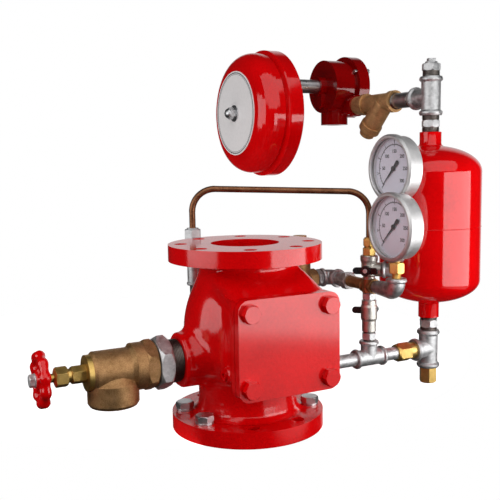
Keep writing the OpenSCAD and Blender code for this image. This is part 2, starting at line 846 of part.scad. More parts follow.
module drain_handwheel() {
    rim_r = (wheel_d - wheel_rim_d) / 2;
    lobes = 5;
    color(red) on_drain(wheel_x - wheel_hub_l / 2) difference() {
        union() {
            cylinder(h = wheel_hub_l, r = 11);
            up(wheel_hub_l / 2) {
                rotate_extrude() translate([rim_r - 1, 0]) circle(wheel_rim_d / 2 - 0.5);
                for (k = [0 : 2 * lobes - 1]) rotate([0, 0, 180 / lobes * k])
                    translate([rim_r, 0, -wheel_rim_d / 2 + 0.5])
                        cylinder(h = wheel_rim_d - 1, r = wheel_rim_d / 2);
                for (k = [0 : lobes - 1]) rotate([0, 0, 360 / lobes * k])
                    to_x() cylinder(h = rim_r, r = 4.2);
            }
        }
        up(-eps) cylinder(h = wheel_hub_l + 2 * eps, r = stem_r + thread_clear);
    }
}

module handwheel_nut() {
    color(steel) on_drain(wheel_x + wheel_hub_l / 2) difference() {
        union() {
            cylinder(h = 1.6, r = 9.5);
            up(1.6) hex_bar(16, 7);
        }
        up(-eps) cylinder(h = 6.2 + eps, r = stem_r + thread_clear);
    }
}

// By-pass tube with its rear riser

module supply_elbow() {
    color(galvanized) translate([-riser_x, riser_y, riser_low_z]) rotate([0, 0, -90])
        elbow(pipe_quarter, riser_elbow_leg, riser_elbow_leg);
}

module supply_pipes() {
    port_l = riser_y - riser_elbow_leg - port_face_y;
    depth = thread_l(pipe_quarter) - eps;
    color(black) {
        translate([-riser_x, port_face_y - depth, riser_low_z]) to_y()
            pipe(pipe_quarter, port_l + 2 * depth);
        translate([-riser_x, riser_y, riser_low_z + riser_elbow_leg - depth])
            pipe(pipe_quarter, coupling_z0 - riser_low_z - riser_elbow_leg + 2 * depth);
    }
}

module supply_coupling() {
    color(galvanized) translate([-riser_x, riser_y, coupling_z0]) difference() {
        union() {
            cylinder(h = coupling_z1 - coupling_z0, r = shell_r(pipe_quarter) + 1);
            mirror([0, 0, 1]) up(-bead_w(pipe_quarter)) leg(pipe_quarter, bead_w(pipe_quarter));
        }
        up(-eps) cylinder(h = thread_l(pipe_quarter) + eps, r = socket_r(pipe_quarter));
        up(-eps) cylinder(h = coupling_z1 - coupling_z0 + 2 * eps, r = tube_r + thread_clear);
    }
}

module tube_nut() {
    nut_l = nut_left_z1 - coupling_z1;
    color(galvanized) translate([-riser_x, riser_y, coupling_z1]) difference() {
        union() {
            hex_bar(24, nut_l - 2);
            cylinder(h = nut_l, r = 9.5);
        }
        up(-eps) cylinder(h = nut_l + 2 * eps, r = tube_r + thread_clear);
    }
}

module tube_arc(r, angle) {
    rotate([90, 0, 0]) rotate_extrude(angle = angle) translate([tube_bend, 0]) circle(r);
}

// Tube or its bore: rear leg, bend, falling run, bend and front leg, each end longer by extra;
// the bends are a little upset, as bent tube is
module tube_path(r, bend_r, extra) {
    left_end_z = coupling_z1 - 10 - extra;
    right_end_z = connector_z0 + connector_l - 8 - extra;
    up(left_end_z) cylinder(h = left_bend_z - left_end_z, r = r);
    translate([tube_bend, 0, left_bend_z]) rotate([0, tube_fall - 90, 0]) tube_arc(bend_r, left_bend);
    translate([run_start[0], 0, run_start[1]]) rotate([0, 90 + tube_fall, 0]) cylinder(h = run_len, r = r);
    translate([right_centre_u, 0, right_bend_z]) tube_arc(bend_r, right_bend);
    translate([run_u, 0, right_end_z]) cylinder(h = right_bend_z - right_end_z, r = r);
}

module copper_tube() {
    color(copper) translate([-riser_x, riser_y, 0]) rotate([0, 0, run_turn]) difference() {
        tube_path(tube_r, tube_r + tube_upset, 0);
        tube_path(tube_bore_r, tube_bore_r - tube_upset, eps);
    }
}

module tube_nut_right() {
    color(brass) on_riser(connector_z0 + connector_l) difference() {
        union() {
            hex_bar(18, nut_right_l - 2);
            cylinder(h = nut_right_l, r = 7.5);
        }
        up(-eps) cylinder(h = nut_right_l + 2 * eps, r = tube_r + thread_clear);
    }
}

module tube_connector() {
    p = pipe_three_eighths;
    color(brass) on_riser(connector_z0) difference() {
        union() {
            up(-thread_l(p) + eps) cylinder(h = thread_l(p), r = pipe_r(p));
            hex_bar(19.5, connector_l - 3);
            cylinder(h = connector_l, r = 8);
        }
        up(-thread_l(p)) cylinder(h = connector_l + thread_l(p), r = 3.5);
        up(connector_l - 9) cylinder(h = 9 + eps, r = tube_r + thread_clear);
    }
}

// Small ball valves

ball_r = ball_d / 2;
ball_bore_r = 5;
valve_stem_r = 3.5;
stem_boss_l = 17;
stem_boss_r = 8;
stem_out_l = 27;
handle_hub_l = 8;

// Ball with its stem; the stem points along +Z, the ball's bores lie across it
module ball_and_stem(third_port) {
    difference() {
        union() {
            sphere(r = ball_r);
            cylinder(h = stem_out_l, r = valve_stem_r);
        }
        to_x() up(-ball_d) cylinder(h = 2 * ball_d, r = ball_bore_r);
        if (third_port) to_y() cylinder(h = ball_d, r = ball_bore_r);
    }
}

// Room for the ball, its stem and the waterway
module ball_room() {
    sphere(r = ball_r + air_gap / 2);
    cylinder(h = stem_out_l, r = valve_stem_r + run_clear);
}

// Points a shape that looks up along a level direction
module level(turn) rotate([0, 0, turn]) rotate([0, 90, 0]) children();

module alarm_valve_body() {
    p = pipe_three_eighths;
    rise = alarm_ball_z - alarm_valve_z0;
    color(nickel) on_riser(alarm_valve_z0) difference() {
        union() {
            rotate_extrude() polygon([[0, 0], [11.4, 0], [11.4, rise - 13], [12.6, rise - 11.5],
                [13.4, rise - 9], [13.4, rise + 10], [12, rise + 14],
                [12, alarm_valve_l], [0, alarm_valve_l]]);
            up(rise) level(alarm_stem_turn) cylinder(h = stem_boss_l, r = stem_boss_r);
        }
        up(-eps) cylinder(h = alarm_valve_l + 2 * eps, r = ball_bore_r);
        up(-eps) cylinder(h = thread_l(p) + eps, r = socket_r(p));
        up(alarm_valve_l - thread_l(p)) cylinder(h = thread_l(p) + eps, r = socket_r(p));
        up(rise) level(alarm_stem_turn) ball_room();
    }
}

module alarm_valve_ball() {
    color(steel) on_riser(alarm_ball_z) level(alarm_stem_turn)
        rotate([0, 0, 90]) ball_and_stem(false);
}

module alarm_valve_handle() {
    color(black) on_riser(alarm_ball_z) level(alarm_stem_turn)
        up(stem_boss_l + air_gap) rotate([0, 0, 90])
            butterfly(8, handle_hub_l, 24, valve_stem_r + thread_clear);
}

module gauge_valve_body() {
    p = pipe_three_eighths;
    rise = gauge_ball_z - cross_z1;
    color(nickel) on_riser(cross_z1) difference() {
        union() {
            up(-thread_l(p) + eps) cylinder(h = thread_l(p), r = pipe_r(p));
            rotate_extrude() polygon([[0, 0], [9.6, 0], [9.6, 4], [12.6, 6.5], [12.6, rise + 10],
                [14.2, rise + 15], [14.2, gauge_valve_l - 1.5], [13, gauge_valve_l], [0, gauge_valve_l]]);
            up(rise) level(gauge_stem_turn) cylinder(h = stem_boss_l, r = stem_boss_r);
            up(rise) level(branch_turn) cylinder(h = port_l, r = shell_r(p));
        }
        up(-thread_l(p)) cylinder(h = gauge_valve_l + 2 * thread_l(p), r = ball_bore_r);
        up(gauge_valve_l - thread_l(p)) cylinder(h = thread_l(p) + eps, r = socket_r(p));
        up(rise) level(branch_turn) {
            cylinder(h = port_l + eps, r = ball_bore_r);
            up(port_l - thread_l(p)) cylinder(h = thread_l(p) + eps, r = socket_r(p));
        }
        up(rise) level(gauge_stem_turn) ball_room();
    }
}

module gauge_valve_ball() {
    color(steel) on_riser(gauge_ball_z) level(gauge_stem_turn) ball_and_stem(true);
}

module gauge_valve_handle() {
    color(black) on_riser(gauge_ball_z) level(gauge_stem_turn)
        up(stem_boss_l + air_gap) rotate([0, 0, 90])
            butterfly(8, handle_hub_l, 22, valve_stem_r + thread_clear);
}

// Gauge line

module bronze_cross() {
    p = pipe_three_eighths;
    tail_r = 9.6;
    color(bronze) on_riser(gauge_z) difference() {
        union() {
            translate([0, -cross_nose, 0]) to_y() {
                cylinder(h = cross_tail + cross_nose, r = tail_r);
                cylinder(h = 5, r = 12.2);
                cylinder(h = cross_nose + 13, r = cross_leg - 0.3);
                up(cross_nose + 10) cylinder(h = 4, r = 12.2);
                up(cross_tail + cross_nose) cylinder(h = thread_l(p) - eps, r = pipe_r(p));
            }
            up(-cross_leg) cylinder(h = 2 * cross_leg, r = 11.4);
        }
        translate([0, -cross_nose - eps, 0]) to_y() cylinder(h = 2 * cross_tail, r = ball_bore_r);
        translate([0, -cross_nose - eps, 0]) to_y() cylinder(h = street_grip + 2 * eps, r = socket_r(p));
        up(-cross_leg - eps) cylinder(h = 2 * cross_leg + 2 * eps, r = ball_bore_r);
        for (side = [0, 1]) mirror([0, 0, side]) up(cross_leg - thread_l(p))
            cylinder(h = thread_l(p) + eps, r = socket_r(p));
    }
}

// Street elbow: a male end into the cross and a bead upwards
module street_elbow() {
    p = pipe_half;
    thread = pipe_three_eighths;
    sweep = shell_r(p) + 0.6;
    color(galvanized) translate([trim_x, -front_gauge_y, gauge_z]) rotate([0, 0, 90]) difference() {
        union() {
            bend(shell_r(p), sweep);
            at_x(sweep) cylinder(h = street_leg - sweep, r1 = shell_r(p), r2 = pipe_r(p));
            at_x(street_leg - eps)
                cylinder(h = front_gauge_y - cross_nose - street_leg + street_grip, r = pipe_r(thread));
            up(sweep) leg(p, short_leg - sweep);
        }
        bend(bore_r(thread), sweep);
        at_x(sweep) cylinder(h = front_gauge_y, r = ball_bore_r);
        up(sweep) cylinder(h = short_leg, r = bore_r(thread));
        up(short_leg - 6) cylinder(h = 6 + eps, r = socket_r(pipe_quarter));
    }
}

module rear_elbow() {
    color(galvanized) translate([trim_x, rear_elbow_y, gauge_z]) rotate([0, 0, -90]) rotate([90, 0, 0])
        elbow(pipe_half, elbow_leg, short_leg);
}

// Union between the rear elbow and the cross
module gauge_union() {
    p = pipe_half;
    thread = pipe_three_eighths;
    y1 = rear_elbow_y - elbow_leg;
    color(galvanized) translate([trim_x, cross_tail, gauge_z]) to_y() difference() {
        union() {
            hex_bar(union_af, union_l);
            cylinder(h = y1 - cross_tail - 5, r = 12.4);
            cylinder(h = y1 - cross_tail + thread_l(p) - eps, r = pipe_r(p));
        }
        up(-eps) cylinder(h = thread_l(thread) + eps, r = socket_r(thread));
        cylinder(h = 80, r = bore_r(thread));
    }
}

module trim_nipples() {
    p = pipe_half;
    depth = thread_l(p) - eps;
    color(black) {
        translate([port_elbow_x + short_leg - depth, rear_elbow_y, gauge_z]) to_x()
            pipe(p, check_x0 - port_elbow_x - short_leg + 2 * depth);
        translate([port_elbow_x, port_face_y - depth, gauge_z]) to_y()
            pipe(p, rear_elbow_y - short_leg - port_face_y + 2 * depth);
    }
}

module port_elbow() {
    color(galvanized) translate([port_elbow_x, rear_elbow_y, gauge_z]) rotate([90, 0, 0])
        elbow(pipe_half, short_leg, short_leg);
}

check_chamber_r = 21;
check_bonnet_z = check_top_z - 22;
module check_valve_body() {
    p = pipe_half;
    mid = (check_x0 + check_x1) / 2 - check_x0;
    color(bronze) translate([check_x0, rear_elbow_y, gauge_z]) difference() {
        union() {
            to_x() {
                hex_bar(30, 15);
                cylinder(h = check_l, r = 15);
                up(check_l - 15) hex_bar(30, 15);
                up(mid) sphere(r = check_chamber_r);
            }
            translate([mid, 0, 0]) cylinder(h = check_bonnet_z - gauge_z, r = check_chamber_r - 3);
            translate([mid, 0, check_bonnet_z - gauge_z - 7]) cylinder(h = 7, r = check_chamber_r);
        }
        to_x() {
            up(-eps) cylinder(h = thread_l(p) + eps, r = socket_r(p));
            up(check_l - thread_l(p)) cylinder(h = thread_l(p) + eps, r = socket_r(p));
            cylinder(h = check_l, r = bore_r(p));
        }
        translate([mid, 0, 0]) cylinder(h = check_bonnet_z, r = 13);
    }
}

module check_valve_bonnet() {
    color(bronze) translate([(check_x0 + check_x1) / 2, rear_elbow_y, check_bonnet_z]) {
        cylinder(h = 8, r = check_chamber_r);
        up(8 - eps) hex_bar(23, check_top_z - check_bonnet_z - 8 + eps);
        up(-12) cylinder(h = 12 + eps, r = 13 - thread_clear);
    }
}

// Gauges, each drawn with its face on -X and its bezel's front at the origin

case_r = gauge_d / 2;
bezel_r = bezel_d / 2;
dial_r = case_r - case_wall;
case_x0 = bezel_front_t + lens_t;
dial_x = case_x0 + dial_gap;
ledge_r = dial_r - 4;
pointer_l = 36;
pointer_tail = 15;
zero_turn = -135;

module at_front_gauge() translate([front_gauge_x, -front_gauge_y, front_gauge_z]) children();
module at_rear_gauge() translate([rear_gauge_x, rear_gauge_y, rear_gauge_z]) children();
module at_gauges() {
    at_front_gauge() children();
    at_rear_gauge() children();
}

module gauge_cases() {
    color(steel) at_gauges() difference() {
        at_x(case_x0) cylinder(h = gauge_depth - case_x0, r = case_r);
        at_x(case_x0 - eps) cylinder(h = dial_gap + dial_t + eps, r = dial_r + thread_clear);
        at_x(case_x0) cylinder(h = gauge_depth - case_x0 - case_back_t, r = ledge_r);
        translate([gauge_stem_back, 0, -case_r - eps])
            cylinder(h = case_r, r = adapter_neck_r + thread_clear);
    }
}

module gauge_bezels() {
    round = 3;
    lip_r = bezel_r - bezel_lip;
    seat_r = case_r + thread_clear;
    color(steel) at_gauges() to_x() rotate_extrude() polygon([[lip_r, 1], [lip_r + 1, 0],
        [bezel_r - round, 0], [bezel_r, round], [bezel_r, bezel_l], [seat_r, bezel_l],
        [seat_r, bezel_front_t], [lip_r, bezel_front_t]]);
}

module gauge_lenses() {
    color([0.8, 0.85, 0.88, 0.4]) at_gauges() at_x(bezel_front_t) cylinder(h = lens_t, r = case_r - 0.1);
}

module gauge_dials() {
    color("white") at_gauges() at_x(dial_x) difference() {
        cylinder(h = dial_t, r = dial_r);
        up(-eps) cylinder(h = dial_t + 2 * eps, r = 1.5 + run_clear);
    }
}

// Pointer seen from the front: it turns about X and rests at the scale's zero
module pointer() {
    blade_x = case_x0 + 1.6;
    color(black) {
        at_x(blade_x - 0.6) cylinder(h = 2.2, r = 4);
        at_x(blade_x) cylinder(h = dial_gap + 5, r = 1.5);
        translate([blade_x, 0, 0]) rotate([zero_turn, 0, 0]) rotate([90, 0, 90]) linear_extrude(1)
            polygon([[-2, -pointer_tail], [2, -pointer_tail], [1.6, 0],
                [0.4, pointer_l], [-0.4, pointer_l], [-1.6, 0]]);
    }
}

module front_pointer() at_front_gauge() pointer();
module rear_pointer() at_rear_gauge() pointer();

// Brass adapters under the gauges: thread, hexagon and neck
module gauge_adapter(z0, z1, hex_z0) {
    p = pipe_quarter;
    difference() {
        union() {
            up(z0 - 5) cylinder(h = hex_z0 - z0 + 6, r = pipe_r(p));
            up(hex_z0) hex_bar(adapter_hex_af, adapter_hex_l);
            up(hex_z0) cylinder(h = z1 - hex_z0, r = adapter_neck_r);
        }
        up(z0 - 6) cylinder(h = z1 - z0 + 12, r = 3);
    }
}

neck_in = 3;
adapter_hex_l = 17;
front_stem_z0 = gauge_z + short_leg;
rear_stem_z0 = rear_gauge_z - case_r - 34;
module gauge_adapters() {
    color(brass) {
        translate([trim_x, -front_gauge_y, 0])
            gauge_adapter(front_stem_z0, front_gauge_z - case_r + neck_in, front_stem_z0 + 8);
        translate([rear_gauge_x + gauge_stem_back, rear_gauge_y, 0])
            gauge_adapter(rear_stem_z0, rear_gauge_z - case_r + neck_in, rear_stem_z0 + 10);
    }
}

// Branch to the rear gauge: nipple, elbow and riser with its socket
branch_leg = 21;
module branch_elbow() {
    color(galvanized) translate([trim_x + branch_l * cos(branch_turn), rear_gauge_y, gauge_ball_z])
        rotate([0, 0, branch_turn + 180]) elbow(pipe_three_eighths, branch_leg, branch_leg);
}

module gauge_riser() {
    p = pipe_three_eighths;
    q = pipe_quarter;
    depth = thread_l(p) - eps;
    foot_z = gauge_ball_z + branch_leg;
    color(black) {
        on_riser(gauge_ball_z) level(branch_turn) up(port_l - depth)
            pipe(p, branch_l - branch_leg - port_l + 2 * depth);
        translate([rear_gauge_x + gauge_stem_back, rear_gauge_y, foot_z]) difference() {
            union() {
                up(-depth) cylinder(h = depth + 3, r = pipe_r(p));
                cylinder(h = rear_stem_z0 - foot_z - 10, r = pipe_r(q));
            }
            up(-depth - eps) cylinder(h = rear_stem_z0, r = bore_r(q));
        }
    }
}

module riser_socket() {
    q = pipe_quarter;
    z0 = rear_stem_z0 - 20;
    color(brass) translate([rear_gauge_x + gauge_stem_back, rear_gauge_y, z0]) difference() {
        cylinder(h = 20, r = 8.6);
        up(-eps) cylinder(h = 10 + eps, r = socket_r(q));
        up(14) cylinder(h = 6 + eps, r = socket_r(q));
        cylinder(h = 20, r = 3);
    }
}

// Alarm line

module alarm_pipes() {
    p = pipe_half;
    depth = thread_l(p) - eps;
    x1 = trim_x - tee_leg;
    x2 = trim_x + tee_leg;
    color(galvanized) up(alarm_z) to_x() {
        up(alarm_face - depth) pipe(p, x1 - alarm_face + 2 * depth);
        up(x2 - depth) pipe(p, restrictor_x0 - x2 + 2 * depth);
    }
}

module hex_nipples() {
    p = pipe_three_eighths;
    q = pipe_three_quarter;
    low_gap = low_neck_z - alarm_z - low_tee_leg;
    color(galvanized) {
        on_riser(alarm_z + tee_leg) hex_nipple(p, nipple_gap, small_hex_af, nipple_gap - 5);
        on_riser(alarm_valve_z1)
            hex_nipple(p, cross_z0 - alarm_valve_z1, small_hex_af - 1, cross_z0 - alarm_valve_z1 - 3);
        translate([check_x1, rear_elbow_y, gauge_z]) to_x()
            hex_nipple(pipe_half, check_gap, medium_hex_af, check_gap - 4);
        on_chamber(alarm_z + low_tee_leg)
            hex_nipple(q, low_gap, medium_hex_af, low_gap - 10);
        on_chamber(top_neck_z)
            hex_nipple(q, top_tee_z - top_tee_low - top_neck_z, medium_hex_af, 12);
    }
}

// Brass restriction fitting at the tee
module restrictor() {
    p = pipe_half;
    q = pipe_three_quarter;
    gap = chamber_x - low_tee_leg - restrictor_x0 - restrictor_l;
    color(brass) translate([restrictor_x0, 0, alarm_z]) to_x() difference() {
        union() {
            intersection() {
                cylinder(h = restrictor_l, r = hex_ac(restrictor_af) / 2, $fn = 6);
                cylinder(h = restrictor_l, r1 = restrictor_af / 2 - 1, r2 = restrictor_af / 2 + 14);
            }
            cylinder(h = restrictor_l + gap + thread_l(q) - eps, r = pipe_r(q));
        }
        up(-eps) cylinder(h = thread_l(p) + eps, r = socket_r(p));
        cylinder(h = 80, r = 4);
    }
}

// Tees at the trim riser, under the retarding chamber and above it
module tees() {
    q = pipe_three_quarter;
    color(galvanized) {
        on_riser(alarm_z) tee(pipe_half, tee_leg, tee_leg, tee_leg, pipe_three_eighths);
        on_chamber(alarm_z) rotate([0, -90, 0])
            tee(q, low_tee_leg, low_tee_leg, low_tee_leg, q);
        on_chamber(top_tee_z) rotate([0, 0, 90]) rotate([0, 90, 0])
            tee(q, top_tee_high, top_tee_low, top_tee_branch, q);
    }
}

drip_l = 27;
drip_socket_l = 20;
module drip_fitting() {
    q = pipe_three_quarter;
    z1 = alarm_z - low_tee_leg;
    color(brass) on_chamber(z1 - drip_l) difference() {
        union() {
            hex_bar(26, drip_l);
            up(drip_l - eps) cylinder(h = thread_l(q), r = pipe_r(q));
        }
        up(-eps) cylinder(h = drip_socket_l + eps, r = 6);
        cylinder(h = drip_l + thread_l(q), r = 2.5);
    }
}

// Welded vessel: two dished ends on a shell, a weld bead at mid height and two screwed necks
function dished(r, k, z0, z1, n) = concat(
    [for (i = [0 : n]) [r - k + k * sin(90 * i / n), z0 + k - k * cos(90 * i / n)]],
    [for (i = [0 : n]) [r - k + k * cos(90 * i / n), z1 - k + k * sin(90 * i / n)]]);
dish_rise = 5;
weld_r = 2.2;
module retard_chamber() {
    q = pipe_three_quarter;
    n = 8;
    mid_z = (chamber_z0 + chamber_z1) / 2 - 8;
    inner_r = chamber_r - chamber_wall;
    inner_k = knuckle_r - chamber_wall;
    color(red) on_chamber(0) difference() {
        union() {
            rotate_extrude() polygon(concat([[0, chamber_z0 - dish_rise]],
                dished(chamber_r, knuckle_r, chamber_z0, chamber_z1, n), [[0, chamber_z1 + dish_rise]]));
            up(low_neck_z) cylinder(h = knuckle_r + 4, d = low_neck_d);
            up(top_neck_z - knuckle_r) cylinder(h = knuckle_r, d = top_neck_d);
            up(mid_z - weld_r) cylinder(h = 2 * weld_r, r = chamber_r + 0.6);
        }
        rotate_extrude() polygon(concat([[0, chamber_z0 - dish_rise + chamber_wall]],
            dished(inner_r, inner_k, chamber_z0 + chamber_wall, chamber_z1 - chamber_wall, n),
            [[0, chamber_z1 + dish_rise - chamber_wall]]));
        up(low_neck_z - eps) cylinder(h = thread_l(q) + eps, r = socket_r(q));
        up(low_neck_z) cylinder(h = 2 * knuckle_r, r = bore_r(q));
        up(top_neck_z - thread_l(q)) cylinder(h = thread_l(q) + eps, r = socket_r(q));
        up(top_neck_z - 2 * knuckle_r) cylinder(h = 2 * knuckle_r, r = bore_r(q));
    }
}

// Top of the alarm line: plug and strainer

// Reducing plug: thread, hexagon, collar and square head
module top_plug() {
    q = pipe_three_quarter;
    color(galvanized) on_chamber(top_tee_z + top_tee_high) {
        up(-thread_l(q) + eps) cylinder(h = thread_l(q) + 8, r = pipe_r(q));
        up(9) hex_bar(28, 12);
        up(20.5) cylinder(h = 3.5, r = 10);
        up(23.5) rotate([0, 0, 20]) cylinder(h = 6, r = 8.5, $fn = 4);
    }
}

module strainer_nipple() {
    q = pipe_three_quarter;
    depth = thread_l(q) - eps;
    color(black) translate([chamber_x, top_tee_branch - depth, top_tee_z]) to_y()
        pipe(q, strainer_y0 - top_tee_branch + 2 * depth);
}

// Y strainer: a beaded run with a screen leg hanging at 45 degrees
module strainer_leg_frame() {
    translate([chamber_x, strainer_leg_y, top_tee_z]) rotate([-135, 0, 0]) children();
}

screen_r = 12;
module strainer_body() {
    q = pipe_three_quarter;
    color(bronze) difference() {
        union() {
            translate([chamber_x, strainer_y0, top_tee_z]) to_y() {
                cylinder(h = strainer_l, r = shell_r(q) + 0.5);
                cylinder(h = 11, r = bead_r(q));
                up(strainer_l - 11) cylinder(h = 11, r = bead_r(q) + 0.4);
                up(strainer_l - eps) cylinder(h = strainer_tail + thread_l(q), r = pipe_r(q));
                up(strainer_l - eps) cylinder(h = strainer_tail + eps, r = shell_r(q) + 1);
            }
            strainer_leg_frame() {
                cylinder(h = strainer_leg_l - 10, r = strainer_leg_d / 2 - 2);
                up(strainer_leg_l - 14) cylinder(h = 14, d = strainer_leg_d);
            }
        }
        translate([chamber_x, strainer_y0 - eps, top_tee_z]) to_y() {
            cylinder(h = thread_l(q) + eps, r = socket_r(q));
            cylinder(h = 2 * strainer_l, r = 9);
        }
        strainer_leg_frame() cylinder(h = strainer_leg_l + eps, r = screen_r + 0.5);
    }
}

module strainer_cap() {
    color(bronze) strainer_leg_frame() up(strainer_leg_l) {
        cylinder(h = 3, r = 17);
        up(3 - eps) hex_bar(26, 10);
        up(-8) cylinder(h = 8 + eps, r = screen_r + 0.5 - thread_clear);
    }
}

module strainer_screen() {
    color(steel) strainer_leg_frame() up(18) difference() {
        cylinder(h = strainer_leg_l - 8 - 18, r = screen_r);
        up(-eps) cylinder(h = strainer_leg_l, r = screen_r - 1.5);
    }
}

// Water motor

module on_motor(x) translate([x, motor_y, motor_z]) to_x() children();
module on_gong(x) translate([x, motor_y, gong_z]) to_x() children();

motor_inlet_d = 40;
motor_foot = 30;
module motor_housing() {
    q = pipe_three_quarter;
    ring_x = motor_groove_x + motor_groove_w;
    color(red) difference() {
        union() {
            on_motor(motor_x0) cylinder(h = motor_groove_x - motor_x0, d = motor_d);
            on_motor(motor_x0) cylinder(h = motor_wall_x - motor_x0, d = motor_d - 6);
            on_motor(ring_x) cylinder(h = motor_wall_x - ring_x, d = motor_cover_d);
            on_motor(motor_x0 - motor_boss_l) cylinder(h = motor_boss_l + eps, r = shaft_tube_d / 2 + 5);
            translate([motor_x0 - motor_boss_l + 4, motor_y, motor_z - motor_foot]) to_x()
                cylinder(h = motor_boss_l, r = 11);
            translate([motor_x0 - motor_boss_l + 4, motor_y - 11, motor_z - motor_foot])
                cube([motor_boss_l, 22, motor_foot]);
            translate([chamber_x, inlet_y, top_tee_z]) to_y() {
                cylinder(h = motor_y - inlet_y, d = motor_inlet_d - 8);
                cylinder(h = 12, d = motor_inlet_d);
            }
            translate([chamber_x, motor_y, top_tee_z])
                cylinder(h = motor_z - top_tee_z, d = motor_inlet_d - 13);
            translate([motor_outlet_x, motor_y, outlet_boss_z])
                cylinder(h = motor_z - outlet_boss_z - motor_cavity_r + 4, d = outlet_boss_d);
        }
        on_motor(motor_x0 + 8) cylinder(h = motor_x1 - motor_x0, r = motor_cavity_r);
        on_motor(motor_x0 - motor_boss_l - eps)
            cylinder(h = tube_depth + eps, r = shaft_tube_d / 2 + thread_clear);
        on_motor(motor_x0 - motor_boss_l) cylinder(h = 40, r = shaft_r + run_clear);
        translate([chamber_x, inlet_y - eps, top_tee_z]) to_y() {
            cylinder(h = thread_l(q) + eps, r = socket_r(q));
            cylinder(h = motor_y - inlet_y - 4, r = 5);
        }
        translate([motor_outlet_x, motor_y, outlet_boss_z - eps]) {
            cylinder(h = 24, r = socket_r(q));
            cylinder(h = 40, r = bore_r(q));
        }
        motor_screw_places() up(-40) cylinder(h = 80, d = motor_screw_d + 2 * thread_clear);
    }
}

tube_depth = 10;
motor_screw_d = 6;
motor_screw_l = motor_wall_x - motor_groove_x - 1;
motor_screw_circle = motor_d / 2 + motor_screw_d / 2 + 0.4;
module motor_screw_places() {
    for (turn = [30, 150, 270]) translate([motor_wall_x, motor_y, motor_z]) rotate([turn, 0, 0])
        translate([0, motor_screw_circle, 0]) to_x() children();
}

module motor_cover() {
    color(red) difference() {
        union() {
            on_motor(motor_wall_x) cylinder(h = motor_cover_t, d = motor_cover_d);
            on_motor(motor_wall_x + motor_cover_t)
                cylinder(h = motor_x1 - motor_wall_x - motor_cover_t,
                    d1 = motor_cover_d - 30, d2 = motor_cover_d - 44);
            on_motor(motor_wall_x - 5) cylinder(h = 6, r = motor_cavity_r - thread_clear);
        }
        on_motor(motor_wall_x - 5 - eps) cylinder(h = 15, r = shaft_r + run_clear);
        motor_screw_places() up(-eps) cylinder(h = 80, d = motor_screw_d + 2 * thread_clear);
    }
}

module motor_screws() {
    color(steel) motor_screw_places() {
        up(-motor_screw_l) cylinder(h = motor_screw_l + motor_cover_t + 1, d = motor_screw_d);
        up(motor_cover_t) hex_bar(10, 4.5);
    }
}

impeller_l = 34;
impeller_x = motor_x0 + 11;
vanes = 8;
module impeller() {
    tip = motor_cavity_r - 2;
    hub_r = 14;
    color(brass) on_motor(impeller_x) difference() {
        union() {
            cylinder(h = impeller_l, r = hub_r);
            up(2) cylinder(h = 3, r = tip - 6);
            for (k = [0 : vanes - 1]) rotate([0, 0, 360 / vanes * k]) translate([hub_r - 3, -1.5, 1])
                cube([tip - hub_r + 3, 3, impeller_l - 2]);
        }
        up(-eps) cylinder(h = impeller_l + 2 * eps, r = shaft_r + thread_clear);
    }
}

module drive_shaft() {
    color(steel) on_motor(striker_x - 8) cylinder(h = motor_wall_x + 3 - striker_x + 8, r = shaft_r);
}

// Striker: hub, arm and rounded hammer that just clears the gong's dome
module striker() {
    hammer_r = 4.5;
    color(brass) on_motor(striker_x - 6) difference() {
        union() {
            cylinder(h = 12, r = 11);
            up(6) rotate([0, -90, 0]) {
                cylinder(h = striker_l - hammer_r, r = 3.5);
                up(striker_l - hammer_r) sphere(r = hammer_r);
            }
        }
        up(-eps) cylinder(h = 12 + 2 * eps, r = shaft_r + thread_clear);
    }
}

module shaft_tube() {
    x1 = motor_x0 - motor_boss_l + tube_depth;
    color(steel) on_motor(bracket_x) difference() {
        cylinder(h = x1 - bracket_x, d = shaft_tube_d);
        up(-eps) cylinder(h = x1 - bracket_x + 2 * eps, r = shaft_r + air_gap);
    }
}

// Bracket on the tube's end with the stud that carries the gong
stud_tip_x = gong_face_x - 16;
module gong_bracket() {
    w = shaft_tube_d + 16;
    color(steel) difference() {
        union() {
            on_motor(bracket_x) cylinder(h = bracket_t, d = w);
            on_gong(bracket_x) cylinder(h = bracket_t, d = w);
            translate([bracket_x, motor_y - w / 2, gong_z]) cube([bracket_t, w, gong_drop]);
            on_gong(stud_tip_x)
                cylinder(h = bracket_x - stud_tip_x + eps, r = stud_r);
            on_gong(gong_face_x + gong_wall)
                cylinder(h = bracket_x - gong_face_x - gong_wall + eps, r = stud_sleeve_r);
        }
        on_motor(bracket_x - eps) cylinder(h = bracket_t + 2 * eps, d = shaft_tube_d + 2 * thread_clear);
    }
}

// Gong: flat face, rounded shoulder, drawn side, groove and rim band
function gong_shell(inset) = let (r = dome_r - inset, k = dome_round - inset, n = 10)
    [for (i = [0 : n]) [r - k + k * sin(90 * i / n), inset + k - k * cos(90 * i / n)]];
band_l = 28;
groove_d = 4;
module gong() {
    band_z = gong_depth - band_l;
    rim_r = gong_d / 2;
    outer = concat([[0, 0]], gong_shell(0),
        [[dome_r, band_z - 7], [dome_r - groove_d, band_z - 3], [rim_r - 2, band_z], [rim_r, band_z + 2],
            [rim_r, gong_depth - 2], [rim_r - 2, gong_depth], [0, gong_depth]]);
    inner = concat([[0, gong_wall]], gong_shell(gong_wall),
        [[dome_r - gong_wall, band_z - 8], [dome_r - groove_d - gong_wall, band_z - 3],
            [rim_r - gong_wall - 1, band_z + 3], [rim_r - gong_wall - 1, gong_depth + eps],
            [0, gong_depth + eps]]);
    color(red) on_gong(gong_face_x) difference() {
        rotate_extrude() polygon(outer);
        rotate_extrude() polygon(inner);
        up(-eps) cylinder(h = 2 * gong_wall, r = stud_r + thread_clear);
    }
}

